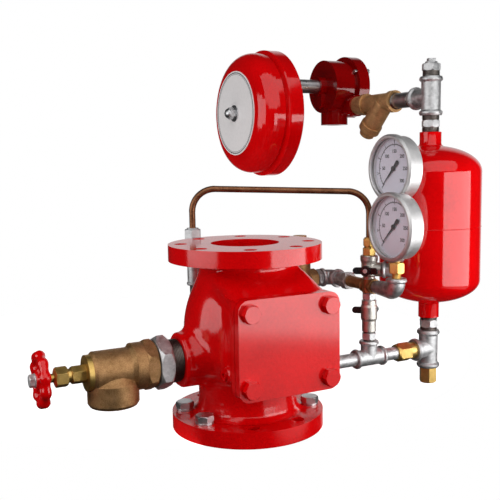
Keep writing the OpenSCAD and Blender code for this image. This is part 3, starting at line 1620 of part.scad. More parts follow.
label_t = 1;
module gong_label() {
    color("lightgray") on_gong(gong_face_x - label_t) difference() {
        cylinder(h = label_t, d = label_d);
        up(-eps) cylinder(h = label_t + 2 * eps, r = stud_r + thread_clear);
    }
}

// Washer and domed nut that hold the gong on its stud
module acorn_nut() {
    nut_l = 11;
    dome = 8;
    color(steel) translate([gong_face_x - label_t, motor_y, gong_z]) to_minus_x() difference() {
        union() {
            cylinder(h = 2, r = 15);
            up(2 - 0.1) hex_bar(19, nut_l);
            up(2 + nut_l - 3) intersection() {
                sphere(r = dome + 2);
                cylinder(h = dome + 3, r = dome + 1);
            }
        }
        up(-eps) cylinder(h = 16 + eps, r = stud_r + thread_clear);
    }
}

// Groups of small pieces of one kind

module tube_fittings() {
    tube_nut_right();
    tube_connector();
}

module trim_elbows() {
    supply_elbow();
    rear_elbow();
    port_elbow();
    branch_elbow();
}

module black_nipples() {
    drain_nipple();
    supply_pipes();
    trim_nipples();
    gauge_riser();
    strainer_nipple();
}

module hex_fittings() {
    hex_nipples();
    gauge_union();
    top_plug();
}

module bronze_caps() {
    check_valve_bonnet();
    strainer_cap();
}

module gauge_stems() {
    gauge_adapters();
    riser_socket();
}

module brass_fittings() {
    restrictor();
    drip_fitting();
}

valve_body();
body_plug();
seat_ring();
clapper();
clapper_seal();
clapper_retainer();
hinge_pin();
cover_plate();
cover_gasket();
cover_bolts();
flange_bolts();
drain_coupling();
drain_valve_body();
drain_bonnet();
drain_gland_nut();
drain_disc();
drain_stem();
drain_handwheel();
handwheel_nut();
supply_coupling();
tube_nut();
copper_tube();
tube_fittings();
alarm_valve_body();
alarm_valve_ball();
alarm_valve_handle();
gauge_valve_body();
gauge_valve_ball();
gauge_valve_handle();
bronze_cross();
street_elbow();
trim_elbows();
black_nipples();
hex_fittings();
alarm_pipes();
tees();
check_valve_body();
bronze_caps();
gauge_cases();
gauge_bezels();
gauge_lenses();
gauge_dials();
front_pointer();
rear_pointer();
gauge_stems();
brass_fittings();
retard_chamber();
strainer_body();
strainer_screen();
motor_housing();
motor_cover();
motor_screws();
impeller();
drive_shaft();
striker();
shaft_tube();
gong_bracket();
gong();
gong_label();
acorn_nut();
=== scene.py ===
import json
import math
from collections import namedtuple

import bmesh
import bpy
import numpy as np
from mathutils import Matrix, Vector


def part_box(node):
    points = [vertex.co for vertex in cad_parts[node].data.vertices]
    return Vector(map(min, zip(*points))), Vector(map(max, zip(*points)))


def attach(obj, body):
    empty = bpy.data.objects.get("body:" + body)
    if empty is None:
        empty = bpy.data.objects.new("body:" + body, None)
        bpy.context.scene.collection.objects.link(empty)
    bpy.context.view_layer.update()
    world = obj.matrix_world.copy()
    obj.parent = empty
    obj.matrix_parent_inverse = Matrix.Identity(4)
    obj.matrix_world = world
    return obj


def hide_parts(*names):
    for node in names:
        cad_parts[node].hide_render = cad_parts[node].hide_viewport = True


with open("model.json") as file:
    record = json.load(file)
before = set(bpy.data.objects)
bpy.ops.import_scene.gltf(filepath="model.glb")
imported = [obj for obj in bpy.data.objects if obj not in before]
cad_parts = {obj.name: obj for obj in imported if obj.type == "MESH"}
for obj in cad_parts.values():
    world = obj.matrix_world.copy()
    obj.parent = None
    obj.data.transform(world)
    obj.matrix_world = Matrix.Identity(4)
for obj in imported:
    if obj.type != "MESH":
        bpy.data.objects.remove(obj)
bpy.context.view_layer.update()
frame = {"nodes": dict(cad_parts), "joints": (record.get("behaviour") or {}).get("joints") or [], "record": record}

scene = bpy.context.scene
nodes = frame["nodes"]
MM = 0.001


def new_object(name, data):
    obj = bpy.data.objects.new(name, data)
    scene.collection.objects.link(obj)
    return obj


# Camera, fitted to the flanges and bolt holes in the photograph: metres and degrees

CAMERA_AT = (-0.5134, -1.0105, 0.3996)
CAMERA_TURN, CAMERA_PITCH, CAMERA_ROLL = -27.31, 6.81, -0.95
SENSOR_MM, LENS_MM = 36, 55.19
CLIP_NEAR, CLIP_FAR = 0.05, 50


def make_camera():
    turn, pitch, roll = (math.radians(a) for a in (CAMERA_TURN, CAMERA_PITCH, CAMERA_ROLL))
    level = math.cos(pitch)
    back = Vector((math.sin(turn) * level, -math.cos(turn) * level, math.sin(pitch)))
    right = Vector((math.cos(turn), math.sin(turn), 0))
    up = back.cross(right)
    side = right * math.cos(roll) + up * math.sin(roll)
    top = up * math.cos(roll) - right * math.sin(roll)
    data = bpy.data.cameras.new("photo_camera")
    data.sensor_width = SENSOR_MM
    data.lens = LENS_MM
    data.clip_start = CLIP_NEAR
    data.clip_end = CLIP_FAR
    cam = new_object("photo_camera", data)
    cam.matrix_world = Matrix.Translation(CAMERA_AT) @ Matrix((side, top, back)).transposed().to_4x4()
    scene.camera = cam


make_camera()


# Studio: a pale floor and a white surround, lit by soft boxes. Places and sizes in metres, power in watts

# The world's strength climbs between two cosines of the angle to GLOW_TOWARDS
BACKDROP_STRENGTH = 1.0
GLOW_TOWARDS = Vector((0.65, 0.74, 0.15)).normalized()
GLOW_COSINES = (0.80, 0.94)
GLOW_STRENGTHS = (0.015, 0.7)

# The floor's own glow climbs between two radii
FLOOR_AT, FLOOR_R, FLOOR_SIDES = (0.1, 0.51, -0.0005), 0.6, 128
FLOOR_GLOW_R = (FLOOR_R * 0.35, FLOOR_R)
FLOOR_GLOW = (0.72, 0.97)


def soft_box(name, at, aim, size, power):
    data = bpy.data.lights.new(name, "AREA")
    data.shape = "RECTANGLE"
    data.size, data.size_y = size
    data.energy = power
    lamp = new_object(name, data)
    lamp.location = at
    lamp.rotation_mode = "QUATERNION"
    lamp.rotation_quaternion = (Vector(aim) - Vector(at)).to_track_quat("-Z", "Y")


def make_world():
    """White to the camera; for all other rays dim, but bright behind the object on its right."""
    world = bpy.data.worlds.new("studio")
    scene.world = world
    world.use_nodes = True
    tree = world.node_tree
    tree.nodes.clear()
    out = tree.nodes.new("ShaderNodeOutputWorld")
    shown = tree.nodes.new("ShaderNodeBackground")
    shown.inputs["Color"].default_value = (1, 1, 1, 1)
    shown.inputs["Strength"].default_value = BACKDROP_STRENGTH
    lit = tree.nodes.new("ShaderNodeBackground")
    lit.inputs["Color"].default_value = (1, 1, 1, 1)
    coord = tree.nodes.new("ShaderNodeTexCoord")
    facing = tree.nodes.new("ShaderNodeVectorMath")
    facing.operation = "DOT_PRODUCT"
    facing.inputs[1].default_value = GLOW_TOWARDS
    fade = tree.nodes.new("ShaderNodeMapRange")
    fade.interpolation_type = "SMOOTHSTEP"
    fade.inputs["From Min"].default_value, fade.inputs["From Max"].default_value = GLOW_COSINES
    fade.inputs["To Min"].default_value, fade.inputs["To Max"].default_value = GLOW_STRENGTHS
    path = tree.nodes.new("ShaderNodeLightPath")
    mix = tree.nodes.new("ShaderNodeMixShader")
    tree.links.new(coord.outputs["Generated"], facing.inputs[0])
    tree.links.new(facing.outputs["Value"], fade.inputs["Value"])
    tree.links.new(fade.outputs[0], lit.inputs["Strength"])
    tree.links.new(path.outputs["Is Camera Ray"], mix.inputs[0])
    tree.links.new(lit.outputs[0], mix.inputs[1])
    tree.links.new(shown.outputs[0], mix.inputs[2])
    tree.links.new(mix.outputs[0], out.inputs["Surface"])


def make_floor():
    mesh = bpy.data.meshes.new("floor")
    b = bmesh.new()
    bmesh.ops.create_circle(b, cap_ends=True, segments=FLOOR_SIDES, radius=FLOOR_R)
    b.to_mesh(mesh)
    b.free()
    floor = new_object("floor", mesh)
    floor.location = FLOOR_AT
    floor.visible_glossy = False
    mesh.materials.append(floor_material())


def make_studio():
    make_world()
    soft_box("high_box", at=(-0.25, -1.25, 1.65), aim=(0.1, 0.05, 0.25), size=(3.2, 2.6), power=37)
    soft_box("right_box", at=(0.516, -0.684, 0.2), aim=(-0.034, -0.029, 0.2), size=(0.94, 0.44), power=5.9)
    soft_box("bounce_box", at=(0.55, -0.655, -0.15), aim=(0.0, 0.0, 0.05), size=(1.03, 0.26), power=0.6)
    soft_box("left_box", at=(-1.45, 0.05, 0.53), aim=(0.1, 0.05, 0.4), size=(1.4, 1.0), power=11.5)
    make_floor()
    scene.view_settings.view_transform = "Standard"
    scene.view_settings.look = "None"


# Materials. Grain and edge are in metres: how deep the relief is, and how far an edge is rounded

BEVEL_SAMPLES = 6

# How much finer a metal's gloss varies than its colour, and the darkest tone as a share of the colour
GLOSS_FINER = 1.7
ENAMEL_LOW, PRINT_LOW = 0.7, 0.95


class Look:
    """A material's node tree with its principled shader."""

    def __init__(self, name):
        self.material = bpy.data.materials.new(name)
        self.material.use_nodes = True
        self.tree = self.material.node_tree
        self.tree.nodes.clear()
        out = self.new("ShaderNodeOutputMaterial")
        self.shader = self.new("ShaderNodeBsdfPrincipled")
        self.link(self.shader.outputs[0], out.inputs["Surface"])
        self.coord = self.new("ShaderNodeTexCoord").outputs["Object"]

    def new(self, kind):
        return self.tree.nodes.new(kind)

    def link(self, a, b):
        self.tree.links.new(a, b)

    def set(self, **values):
        for key, value in values.items():
            self.shader.inputs[key.replace("_", " ")].default_value = value

    def noise(self, scale, detail, rough=0.55):
        node = self.new("ShaderNodeTexNoise")
        node.inputs["Scale"].default_value = scale
        node.inputs["Detail"].default_value = detail
        node.inputs["Roughness"].default_value = rough
        self.link(self.coord, node.inputs["Vector"])
        return node.outputs[0]

    def cells(self, scale):
        """A value that is even within each cell of a random mosaic."""
        node = self.new("ShaderNodeTexVoronoi")
        node.inputs["Scale"].default_value = scale
        self.link(self.coord, node.inputs["Vector"])
        split = self.new("ShaderNodeSeparateColor")
        self.link(node.outputs["Color"], split.inputs[0])
        return split.outputs[0]

    def ramp(self, value, *stops):
        node = self.new("ShaderNodeValToRGB")
        ramp = node.color_ramp
        while len(ramp.elements) < len(stops):
            ramp.elements.new(0.5)
        for element, (place, colour) in zip(ramp.elements, stops):
            element.position = place
            element.color = (*colour, 1)
        self.link(value, node.inputs[0])
        return node.outputs[0]

    def span(self, value, low, high, at=(0.3, 0.7)):
        """Maps a value that runs over the range at onto the range from low to high."""
        node = self.new("ShaderNodeMapRange")
        node.inputs["From Min"].default_value, node.inputs["From Max"].default_value = at
        node.inputs["To Min"].default_value, node.inputs["To Max"].default_value = low, high
        self.link(value, node.inputs["Value"])
        return node.outputs[0]

    def mix(self, a, b, share):
        node = self.new("ShaderNodeMix")
        node.inputs["Factor"].default_value = share
        self.link(a, node.inputs["A"])
        self.link(b, node.inputs["B"])
        return node.outputs[0]

    def colour(self, socket):
        self.link(socket, self.shader.inputs["Base Color"])

    def rough(self, socket):
        self.link(socket, self.shader.inputs["Roughness"])

    def relief(self, height, distance, strength, edge):
        bump = self.new("ShaderNodeBump")
        bump.inputs["Strength"].default_value = strength
        bump.inputs["Distance"].default_value = distance
        self.link(height, bump.inputs["Height"])
        if edge:
            bevel = self.new("ShaderNodeBevel")
            bevel.samples = BEVEL_SAMPLES
            bevel.inputs["Radius"].default_value = edge
            self.link(bevel.outputs[0], bump.inputs["Normal"])
        self.link(bump.outputs[0], self.shader.inputs["Normal"])


def floor_material():
    """White paper that glows a little more towards its rim, where the light falls off."""
    look = Look("floor_paper")
    look.set(Roughness=0.9, Emission_Color=(1, 1, 1, 1))
    tone = look.noise(scale=3, detail=2)
    look.colour(look.ramp(tone, (0.3, (0.83, 0.83, 0.83)), (0.7, (0.85, 0.85, 0.85))))
    reach = look.new("ShaderNodeVectorMath")
    reach.operation = "LENGTH"
    look.link(look.coord, reach.inputs[0])
    glow = look.span(reach.outputs["Value"], *FLOOR_GLOW, at=FLOOR_GLOW_R)
    look.link(glow, look.shader.inputs["Emission Strength"])
    return look.material


RED_SHADES = (
    (0.34, (0.56, 0.0006, 0.0015)),
    (0.52, (0.66, 0.001, 0.002)),
    (0.68, (0.73, 0.0012, 0.003)),
)


def red_paint(name, grain, lumps, edge, gloss, bright=1.0):
    """Gloss red enamel: lumps is the scale of its slow waviness, gloss the roughness of its clear coat; bright
    below 1 paints shade into it.
    """
    look = Look(name)
    look.set(Specular_IOR_Level=0.0, Coat_Weight=1.0, Coat_Roughness=gloss, Coat_IOR=1.5)
    tone = look.mix(look.noise(scale=14, detail=3), look.noise(scale=210, detail=3), share=0.35)
    shades = [(place, tuple(c * bright for c in shade)) for place, shade in RED_SHADES]
    look.colour(look.ramp(tone, *shades))
    look.rough(look.span(look.noise(scale=90, detail=3), low=0.35, high=0.5))
    height = look.mix(look.noise(lumps, detail=2), look.noise(scale=420, detail=3, rough=0.6), share=0.4)
    look.relief(height, grain, strength=0.6, edge=edge)
    return look.material


def metal(name, dark, light, scale, rough, grain, grain_scale, edge, bare=1.0):
    """Metal that varies from dark to light in patches; bare is below 1 where it is dull with oxide."""
    look = Look(name)
    look.set(Metallic=bare)
    patches = look.noise(scale, detail=5, rough=0.6)
    tone = look.mix(patches, look.noise(grain_scale, detail=2, rough=0.5), share=0.4)
    look.colour(look.ramp(tone, (0.32, dark), (0.66, light)))
    look.rough(look.span(look.noise(scale * GLOSS_FINER, detail=3, rough=0.6), *rough))
    look.relief(look.noise(grain_scale, detail=3, rough=0.6), grain, strength=0.6, edge=edge)
    return look.material


def galvanized():
    """Hot-dipped zinc with its spangle."""
    spangle = 230
    look = Look("galvanized")
    look.set(Metallic=0.95)
    tone = look.mix(look.cells(spangle), look.noise(scale=95, detail=4), share=0.7)
    low, mid, high = (0.40, 0.40, 0.405), (0.56, 0.56, 0.565), (0.70, 0.70, 0.70)
    look.colour(look.ramp(tone, (0.25, low), (0.55, mid), (0.8, high)))
    look.rough(look.span(look.cells(spangle), low=0.42, high=0.58, at=(0.0, 1.0)))
    height = look.mix(look.noise(scale=300, detail=3), look.noise(scale=1200, detail=2), share=0.4)
    look.relief(height, 0.0003, strength=0.5, edge=0.0008)
    return look.material


def enamel(name, colour, rough, grain, edge):
    look = Look(name)
    look.set(IOR=1.5)
    low = tuple(c * ENAMEL_LOW for c in colour)
    look.colour(look.ramp(look.noise(scale=160, detail=3), (0.35, low), (0.65, colour)))
    look.rough(look.span(look.noise(scale=260, detail=3), *rough))
    look.relief(look.noise(scale=1400, detail=3), grain, strength=0.5, edge=edge)
    return look.material


def lens_material():
    look = Look("lens_glass")
    look.set(Roughness=0.02, IOR=1.45, Alpha=0.04)
    tone = look.noise(scale=20, detail=2)
    look.colour(look.ramp(tone, (0.4, (0.95, 0.96, 0.97)), (0.6, (1.0, 1.0, 1.0))))
    return look.material


def printed(name, colour):
    look = Look(name)
    low = tuple(c * PRINT_LOW for c in colour)
    look.colour(look.ramp(look.noise(scale=220, detail=3), (0.35, low), (0.65, colour)))
    look.rough(look.span(look.noise(scale=400, detail=2), low=0.35, high=0.45))
    return look.material


make_studio()
LOOKS = {
    "red_paint": red_paint("red_paint", grain=0.003, lumps=110, edge=0.0016, gloss=0.13),
    "bronze": metal(
        "bronze", dark=(0.23, 0.122, 0.047), light=(0.53, 0.305, 0.135), scale=75,
        rough=(0.42, 0.62), grain=0.0005, grain_scale=700, edge=0.0012, bare=0.9),
    "brass": metal(
        "brass", dark=(0.50, 0.31, 0.08), light=(0.86, 0.59, 0.20), scale=45,
        rough=(0.34, 0.48), grain=0.0002, grain_scale=1200, edge=0.0006),
    "galvanized": galvanized(),
    "nickel": metal(
        "nickel", dark=(0.50, 0.47, 0.43), light=(0.74, 0.71, 0.66), scale=60,
        rough=(0.40, 0.55), grain=0.0002, grain_scale=900, edge=0.0008),
    "black_iron": metal(
        "black_iron", dark=(0.035, 0.031, 0.029), light=(0.075, 0.067, 0.062), scale=90,
        rough=(0.30, 0.45), grain=0.0003, grain_scale=900, edge=0.0004),
    "black_enamel": enamel(
        "black_enamel", colour=(0.012, 0.012, 0.013), rough=(0.22, 0.34), grain=0.0002, edge=0.001),
    "copper": metal(
        "copper", dark=(0.13, 0.052, 0.024), light=(0.30, 0.135, 0.068), scale=60,
        rough=(0.36, 0.52), grain=0.0002, grain_scale=500, edge=0),
    "stainless": metal(
        "stainless", dark=(0.66, 0.65, 0.65), light=(0.80, 0.79, 0.79), scale=70,
        rough=(0.48, 0.60), grain=0.00006, grain_scale=1500, edge=0.0010),
    "zinc_steel": metal(
        "zinc_steel", dark=(0.48, 0.48, 0.49), light=(0.70, 0.70, 0.71), scale=80,
        rough=(0.26, 0.42), grain=0.0002, grain_scale=1000, edge=0.0006),
    "rubber": enamel("rubber", colour=(0.02, 0.02, 0.02), rough=(0.6, 0.8), grain=0.0003, edge=0),
    "lens": lens_material(),
    "dial_white": printed("dial_white", (0.72, 0.70, 0.80)),
    "pointer_black": printed("pointer_black", (0.012, 0.012, 0.014)),
    "label": printed("label", (0.88, 0.85, 0.85)),
}
SMOOTH_RED = red_paint("smooth_red", grain=0.00006, lumps=30, edge=0.0012, gloss=0.08)
# A darker copy of the red paint: painted shade for the motor, standing in for the gong's shadow on it.
SHADED_RED = red_paint("shaded_red", grain=0.0005, lumps=90, edge=0.0014, gloss=0.10, bright=0.38)
# A paler copy of the bronze, lightened to lift the shade on the strainer and caps: painted light.
LIT_BRONZE = metal(
    "lit_bronze", dark=(0.37, 0.20, 0.08), light=(0.78, 0.46, 0.21), scale=75,
    rough=(0.42, 0.6), grain=0.0005, grain_scale=700, edge=0.0012, bare=0.75)
CUT_STEEL = metal(
    "cut_steel", dark=(0.10, 0.085, 0.075), light=(0.24, 0.21, 0.19), scale=120,
    rough=(0.28, 0.42), grain=0.0002, grain_scale=900, edge=0)
PALE_STEEL = metal(
    "pale_steel", dark=(0.44, 0.42, 0.42), light=(0.62, 0.60, 0.60), scale=80,
    rough=(0.34, 0.48), grain=0.0002, grain_scale=900, edge=0.0004)
LOOK_BY_NODE = {
    # Strainer and caps in the lightened bronze: painted light against the shade they sit in.
    "strainer_body": LIT_BRONZE,
    "bronze_caps": LIT_BRONZE,
    "gong": SMOOTH_RED,
    # The motor's red is darkened: painted shade in place of the gong's shadow.
    "motor_housing": SHADED_RED,
    "motor_cover": SHADED_RED,
}


def dress_nodes():
    """Each CAD node in its slot's look or its own; the nipples above the chamber are paler than the rest."""
    for sub in frame["record"]["subparts"]:
        mesh = nodes[sub["node"]].data
        mesh.materials.clear()
        mesh.materials.append(LOOK_BY_NODE.get(sub["node"], LOOKS[sub["material_slot"]]))
    pipes = nodes["black_nipples"].data
    pipes.materials.append(PALE_STEEL)
    above_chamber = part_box("retard_chamber")[1].z
    for face in pipes.polygons:
        face.material_index = 1 if face.center.z > above_chamber else 0


dress_nodes()


# Skins for cast pieces: a field gives the distance in mm from a surface, below zero inside it

PROBE = 0.05
LEAST_SLOPE_SQUARED = 0.2
LONGEST_MOVE = 2.0
SETTLE_ROUNDS = 3


def smooth_min(a, b, k):
    """The lesser of two fields, rounded over k mm where they meet."""
    h = np.clip(k - np.abs(a - b), 0, None) / k
    return np.minimum(a, b) - h * h * k / 4


def smooth_max(a, b, k):
    return -smooth_min(-a, -b, k)


def net_vertices(value, grid):
    """One vertex in each grid cell that the zero surface crosses, and each cell's vertex number."""
    inside = value < 0
    cells = tuple(n - 1 for n in value.shape)
    total, count = np.zeros((*cells, 3)), np.zeros(cells)

    def corner(array, c):
        return array[c[0]:c[0] + cells[0], c[1]:c[1] + cells[1], c[2]:c[2] + cells[2]]

    for a in [(i, j, k) for i in (0, 1) for j in (0, 1) for k in (0, 1)]:
        for axis in range(3):
            if a[axis]:
                continue
            b = tuple(1 if n == axis else a[n] for n in range(3))
            cross = corner(inside, a) != corner(inside, b)
            va, vb = corner(value, a), corner(value, b)
            t = np.where(cross, va / np.where(cross, va - vb, 1), 0)[..., None]
            total += np.where(cross[..., None], corner(grid, a) * (1 - t) + corner(grid, b) * t, 0)
            count += cross
    used = count > 0
    index = np.full(cells, -1)
    index[used] = np.arange(used.sum())
    return total[used] / count[used][:, None], index


def net_quads(inside, index, axis):
    """A quad round each grid edge along an axis that crosses the surface, facing outwards."""
    p, q = (axis + 1) % 3, (axis + 2) % 3
    along = [slice(1, -1)] * 3
    along[axis] = slice(0, -1)
    ahead = list(along)
    ahead[axis] = slice(1, None)
    first, second = inside[tuple(along)], inside[tuple(ahead)]
    where = np.argwhere(first != second)
    leaving = first[tuple(where.T)]
    where = where + np.array([0 if n == axis else 1 for n in range(3)])
    ring = []
    for dp, dq in ((-1, -1), (0, -1), (0, 0), (-1, 0)):
        cell = where.copy()
        cell[:, p] += dp
        cell[:, q] += dq
        ring.append(index[tuple(cell.T)])
    ring = np.stack(ring, 1)
    ring[~leaving] = ring[~leaving][:, ::-1]
    return ring


def settle(points, field):
    """Moves points along the field's gradient onto its zero surface."""
    for _ in range(SETTLE_ROUNDS):
        ends = [(field(points + e), field(points - e)) for e in np.eye(3) * PROBE]
        slope = np.stack([(ahead - behind) / (2 * PROBE) for ahead, behind in ends], -1)
        steep = np.clip((slope * slope).sum(-1), LEAST_SLOPE_SQUARED, None)
        move = np.clip(field(points) / steep, -LONGEST_MOVE, LONGEST_MOVE)
        points = points - slope * move[:, None]
    return points


def surface_net(field, low, high, step):
    """Points and quads of the zero surface of a field, from a grid of the given step."""
    axes = [np.arange(a, b + step, step) for a, b in zip(low, high)]
    grid = np.stack(np.meshgrid(*axes, indexing="ij"), -1)
    value = field(grid)
    points, index = net_vertices(value, grid)
    quads = [net_quads(value < 0, index, axis) for axis in range(3)]
    return settle(points, field), np.concatenate(quads)


# Cast body: the CAD body with the soft blends of a sand casting on its outside, in mm

FLANGE_T, TOP_FLANGE_Z = 23.9, 251.8
FOOT_R, BULGE_R, NECK_R, SHOULDER_R = 73.5, 94.0, 69.0, 146.0
FOOT_Z, SWELL_Z, BULGE_Z = 68.0, 122.0, 146.0
HUB_HEIGHTS, HUB_RADII = (23.9, 31.9, 46.0), (81.5, 75.5, 73.5)

# The cover's box: as wide as its waist at WAIST_Y in front of the axis, and wider from there to the pad.
# Its underside falls to BOX_LOW over the distances in UNDER_REACH
BOX_HALF_W, BOX_LOW, BOX_EAVES, BOX_RIDGE = 77.0, 78.8, 213.2, 245.8
PAD_FACE, PAD_T, ROOT_INSET = 119.2, 7.0, 4.0
ROOF_SLOPE = 0.42
WAIST_Y, WAIST_HEIGHTS, WAIST_HALF_W = 60.0, (195.0, 225.0), (65.0, 75.0)
UNDER_REACH = (0, PAD_FACE / 2, PAD_FACE)
UNDER_HEIGHTS = (BOX_LOW + 24, BOX_LOW + 8, BOX_LOW)

DRAIN_Z, DRAIN_FACE, DRAIN_BOSS_R, DRAIN_BORE_R = 112.0, 113.0, 39.0, 30.0
PLUG_Y, PLUG_Z, PLUG_BOSS_R, PLUG_FACE = -82.0, 104.0, 10.5, 75.0

Port = namedtuple("Port", "start along reach radius bore blend")
ALARM_PORT = Port(start=(0, 0, 70), along=(1, 0, 0), reach=92, radius=19.2, bore=10.6, blend=16)
GAUGE_PORT = Port(start=(60, 0, 190.4), along=(0, 1, 0), reach=88, radius=17.2, bore=10.6, blend=14)
LOW_PORT = Port(start=(-30, 0, 62), along=(0, 1, 0), reach=88, radius=15.6, bore=6.8, blend=14)
PORTS = (ALARM_PORT, GAUGE_PORT, LOW_PORT)
DRAIN_PORT = Port((0, 0, DRAIN_Z), (-1, 0, 0), DRAIN_FACE, DRAIN_BOSS_R, DRAIN_BORE_R, blend=16)

# How wide each join is blended
NECK_BLEND, BOX_BLEND, ROOF_BLEND, BOX_EDGE = 12, 14, 4, 24
BOSS_CORNER, BOSS_EDGE, PORT_EDGE, PLUG_BLEND = 8, 5, 3, 7
TOP_FLANGE_BLEND, LOW_FLANGE_BLEND = 16, 5

# What a sloped wall's distance along an axis is multiplied by to come near its true distance
CHAMBER_LEAN, ROOF_LEAN = 0.9, 0.92

# Where the skin ends, and which faces of the CAD body it takes the place of
SKIN_STEP, SKIN_MARGIN, SKIN_INSET = 2.4, 6.0, 2.0
SKIN_FLANGE_GAP, SKIN_PAD_GAP, SKIN_PORT_DEPTH = 0.25, 2.5, 2
CAD_FLANGE_GAP, CAD_PAD_GAP, CAD_WALL = 0.3, 9.5, 5


def casting_radius(z):
    """The round chamber swells from its foot to the bulge and draws in to the neck."""
    rise = (1 - np.cos(np.pi * np.clip((z - FOOT_Z) / (SWELL_Z - FOOT_Z), 0, 1))) / 2
    low = FOOT_R + (BULGE_R - FOOT_R) * rise
    dz = np.clip(z - BULGE_Z, 0, SHOULDER_R)
    shoulder = BULGE_R - SHOULDER_R + np.sqrt(SHOULDER_R ** 2 - dz ** 2)
    high = smooth_max(shoulder, NECK_R, NECK_BLEND)
    hub = np.where(z < HUB_HEIGHTS[-1], np.interp(z, HUB_HEIGHTS, HUB_RADII), 0)
    return np.maximum(np.where(z > BULGE_Z, high, low), hub)


def cover_box_field(x, y, z):
    """The cover's box: waisted sides, a sloped underside and a roof that climbs to the neck."""
    waist = np.interp(z, WAIST_HEIGHTS, WAIST_HALF_W)
    root = np.minimum(casting_radius(z) - ROOT_INSET, waist)
    flare = np.clip((-y - WAIST_Y) / (PAD_FACE - PAD_T - WAIST_Y), 0, 1)
    half_w = root + (waist - root) * np.clip(-y / WAIST_Y, 0, 1)
    half_w = half_w + (BOX_HALF_W - waist) * flare
    side = np.abs(x) - half_w
    under = np.interp(-y, UNDER_REACH, UNDER_HEIGHTS) - z
    roof_z = np.minimum(BOX_EAVES + ROOF_SLOPE * (PAD_FACE + y), BOX_RIDGE)
    ends = smooth_max(under, (z - roof_z) * ROOF_LEAN, ROOF_BLEND)
    return np.maximum(smooth_max(side, ends, BOX_EDGE), y)


def drain_boss_field(x, y, z):
    """An eight-sided boss on the left."""
    u, v = np.abs(y), np.abs(z - DRAIN_Z)
    square = smooth_max(u, v, BOSS_CORNER)
    eight = smooth_max(square, (u + v) * math.sqrt(0.5), BOSS_CORNER) - DRAIN_BOSS_R
    return smooth_max(eight, np.maximum(-x - DRAIN_FACE, x), BOSS_EDGE)


def plug_boss_field(x, y, z):
    """A small round boss on the left of the box."""
    off = np.hypot(y - PLUG_Y, z - PLUG_Z) - PLUG_BOSS_R
    return np.maximum(off, np.abs(x + PLUG_FACE / 2) - PLUG_FACE / 2)


def port_place(p, port):
    """How far points lie along a port's axis, and how far off it."""
    q = p - np.array(port.start, float)
    run = q @ np.array(port.along, float)
    return run, np.sqrt(np.clip((q * q).sum(-1) - run * run, 0, None))


def casting_field(p):
    """Distance from the outside of the cast body."""
    x, y, z = p[..., 0], p[..., 1], p[..., 2]
    d = (np.hypot(x, y) - casting_radius(z)) * CHAMBER_LEAN
    d = smooth_min(d, cover_box_field(x, y, z), BOX_BLEND)
    d = smooth_min(d, drain_boss_field(x, y, z), DRAIN_PORT.blend)
    for port in PORTS:
        run, off = port_place(p, port)
        ends = np.maximum(run - port.reach, -run)
        d = smooth_min(d, smooth_max(off - port.radius, ends, PORT_EDGE), port.blend)
    d = smooth_min(d, TOP_FLANGE_Z - z, TOP_FLANGE_BLEND)
    d = smooth_min(d, z - FLANGE_T, LOW_FLANGE_BLEND)
    return smooth_min(d, plug_boss_field(x, y, z), PLUG_BLEND)


def casting_solid(p):
    """The same field cut just inside the flanges and the cover pad."""
    y, z = p[..., 1], p[..., 2]
    d = casting_field(p)
    d = np.maximum(d, z - TOP_FLANGE_Z - SKIN_INSET)
    d = np.maximum(d, FLANGE_T - SKIN_INSET - z)
    return np.maximum(d, -PAD_FACE + SKIN_INSET - y)


def skin_shows(middle):
    """True for faces between the flanges and behind the pad that don't close the mouth of a port."""
    y, z = middle[:, 1], middle[:, 2]
    shows = (z < TOP_FLANGE_Z - SKIN_FLANGE_GAP) & (z > FLANGE_T + SKIN_FLANGE_GAP)
    shows &= y > -PAD_FACE + SKIN_PAD_GAP
    for port in (*PORTS, DRAIN_PORT):
        run, off = port_place(middle, port)
        shows &= ~((off < port.bore) & (run > port.reach - SKIN_PORT_DEPTH))
    return shows


def under_skin(face):
    """True for an outer face of the CAD body between the flanges and behind the pad."""
    c = np.array(face.calc_center_median()) / MM
    between = FLANGE_T + CAD_FLANGE_GAP < c[2] < TOP_FLANGE_Z - CAD_FLANGE_GAP
    return between and c[1] > -PAD_FACE + CAD_PAD_GAP and casting_field(c) > -CAD_WALL


def cast_body():
    low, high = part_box("valve_body")
    low, high = np.array(low) / MM - SKIN_MARGIN, np.array(high) / MM + SKIN_MARGIN
    points, quads = surface_net(casting_solid, low, high, SKIN_STEP)
    b = bmesh.new()
    b.from_mesh(nodes["valve_body"].data)
    bmesh.ops.delete(b, geom=[face for face in b.faces if under_skin(face)], context="FACES")
    skin = [b.verts.new(v * MM) for v in points]
    for quad in quads[skin_shows(points[quads].mean(1))]:
        face = b.faces.new([skin[i] for i in quad])
        face.smooth = True
    bmesh.ops.delete(b, geom=[v for v in skin if not v.link_faces], context="VERTS")
    mesh = bpy.data.meshes.new("cast_body")
    b.to_mesh(mesh)
    b.free()
    mesh.materials.append(LOOKS["red_paint"])
    obj = new_object("cast_body", mesh)
    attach(obj, "valve")
    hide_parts("valve_body")


cast_body()


# Handwheel with the soft lobed rim of a casting, in mm

WHEEL_RIM_R, WHEEL_TUBE_R, WHEEL_LOBES, WHEEL_LOBE = 32.2, 6.4, 10, 0.7
WHEEL_SPOKES, SPOKE_R, WHEEL_HUB_R, WHEEL_HUB_HALF, WHEEL_BORE_R = 5, 4.0, 11.0, 7.0, 5.2
HUB_EDGE, HUB_BLEND, RIM_BLEND = 2, 5, 6
WHEEL_STEP, WHEEL_MARGIN = 1.2, 4.0


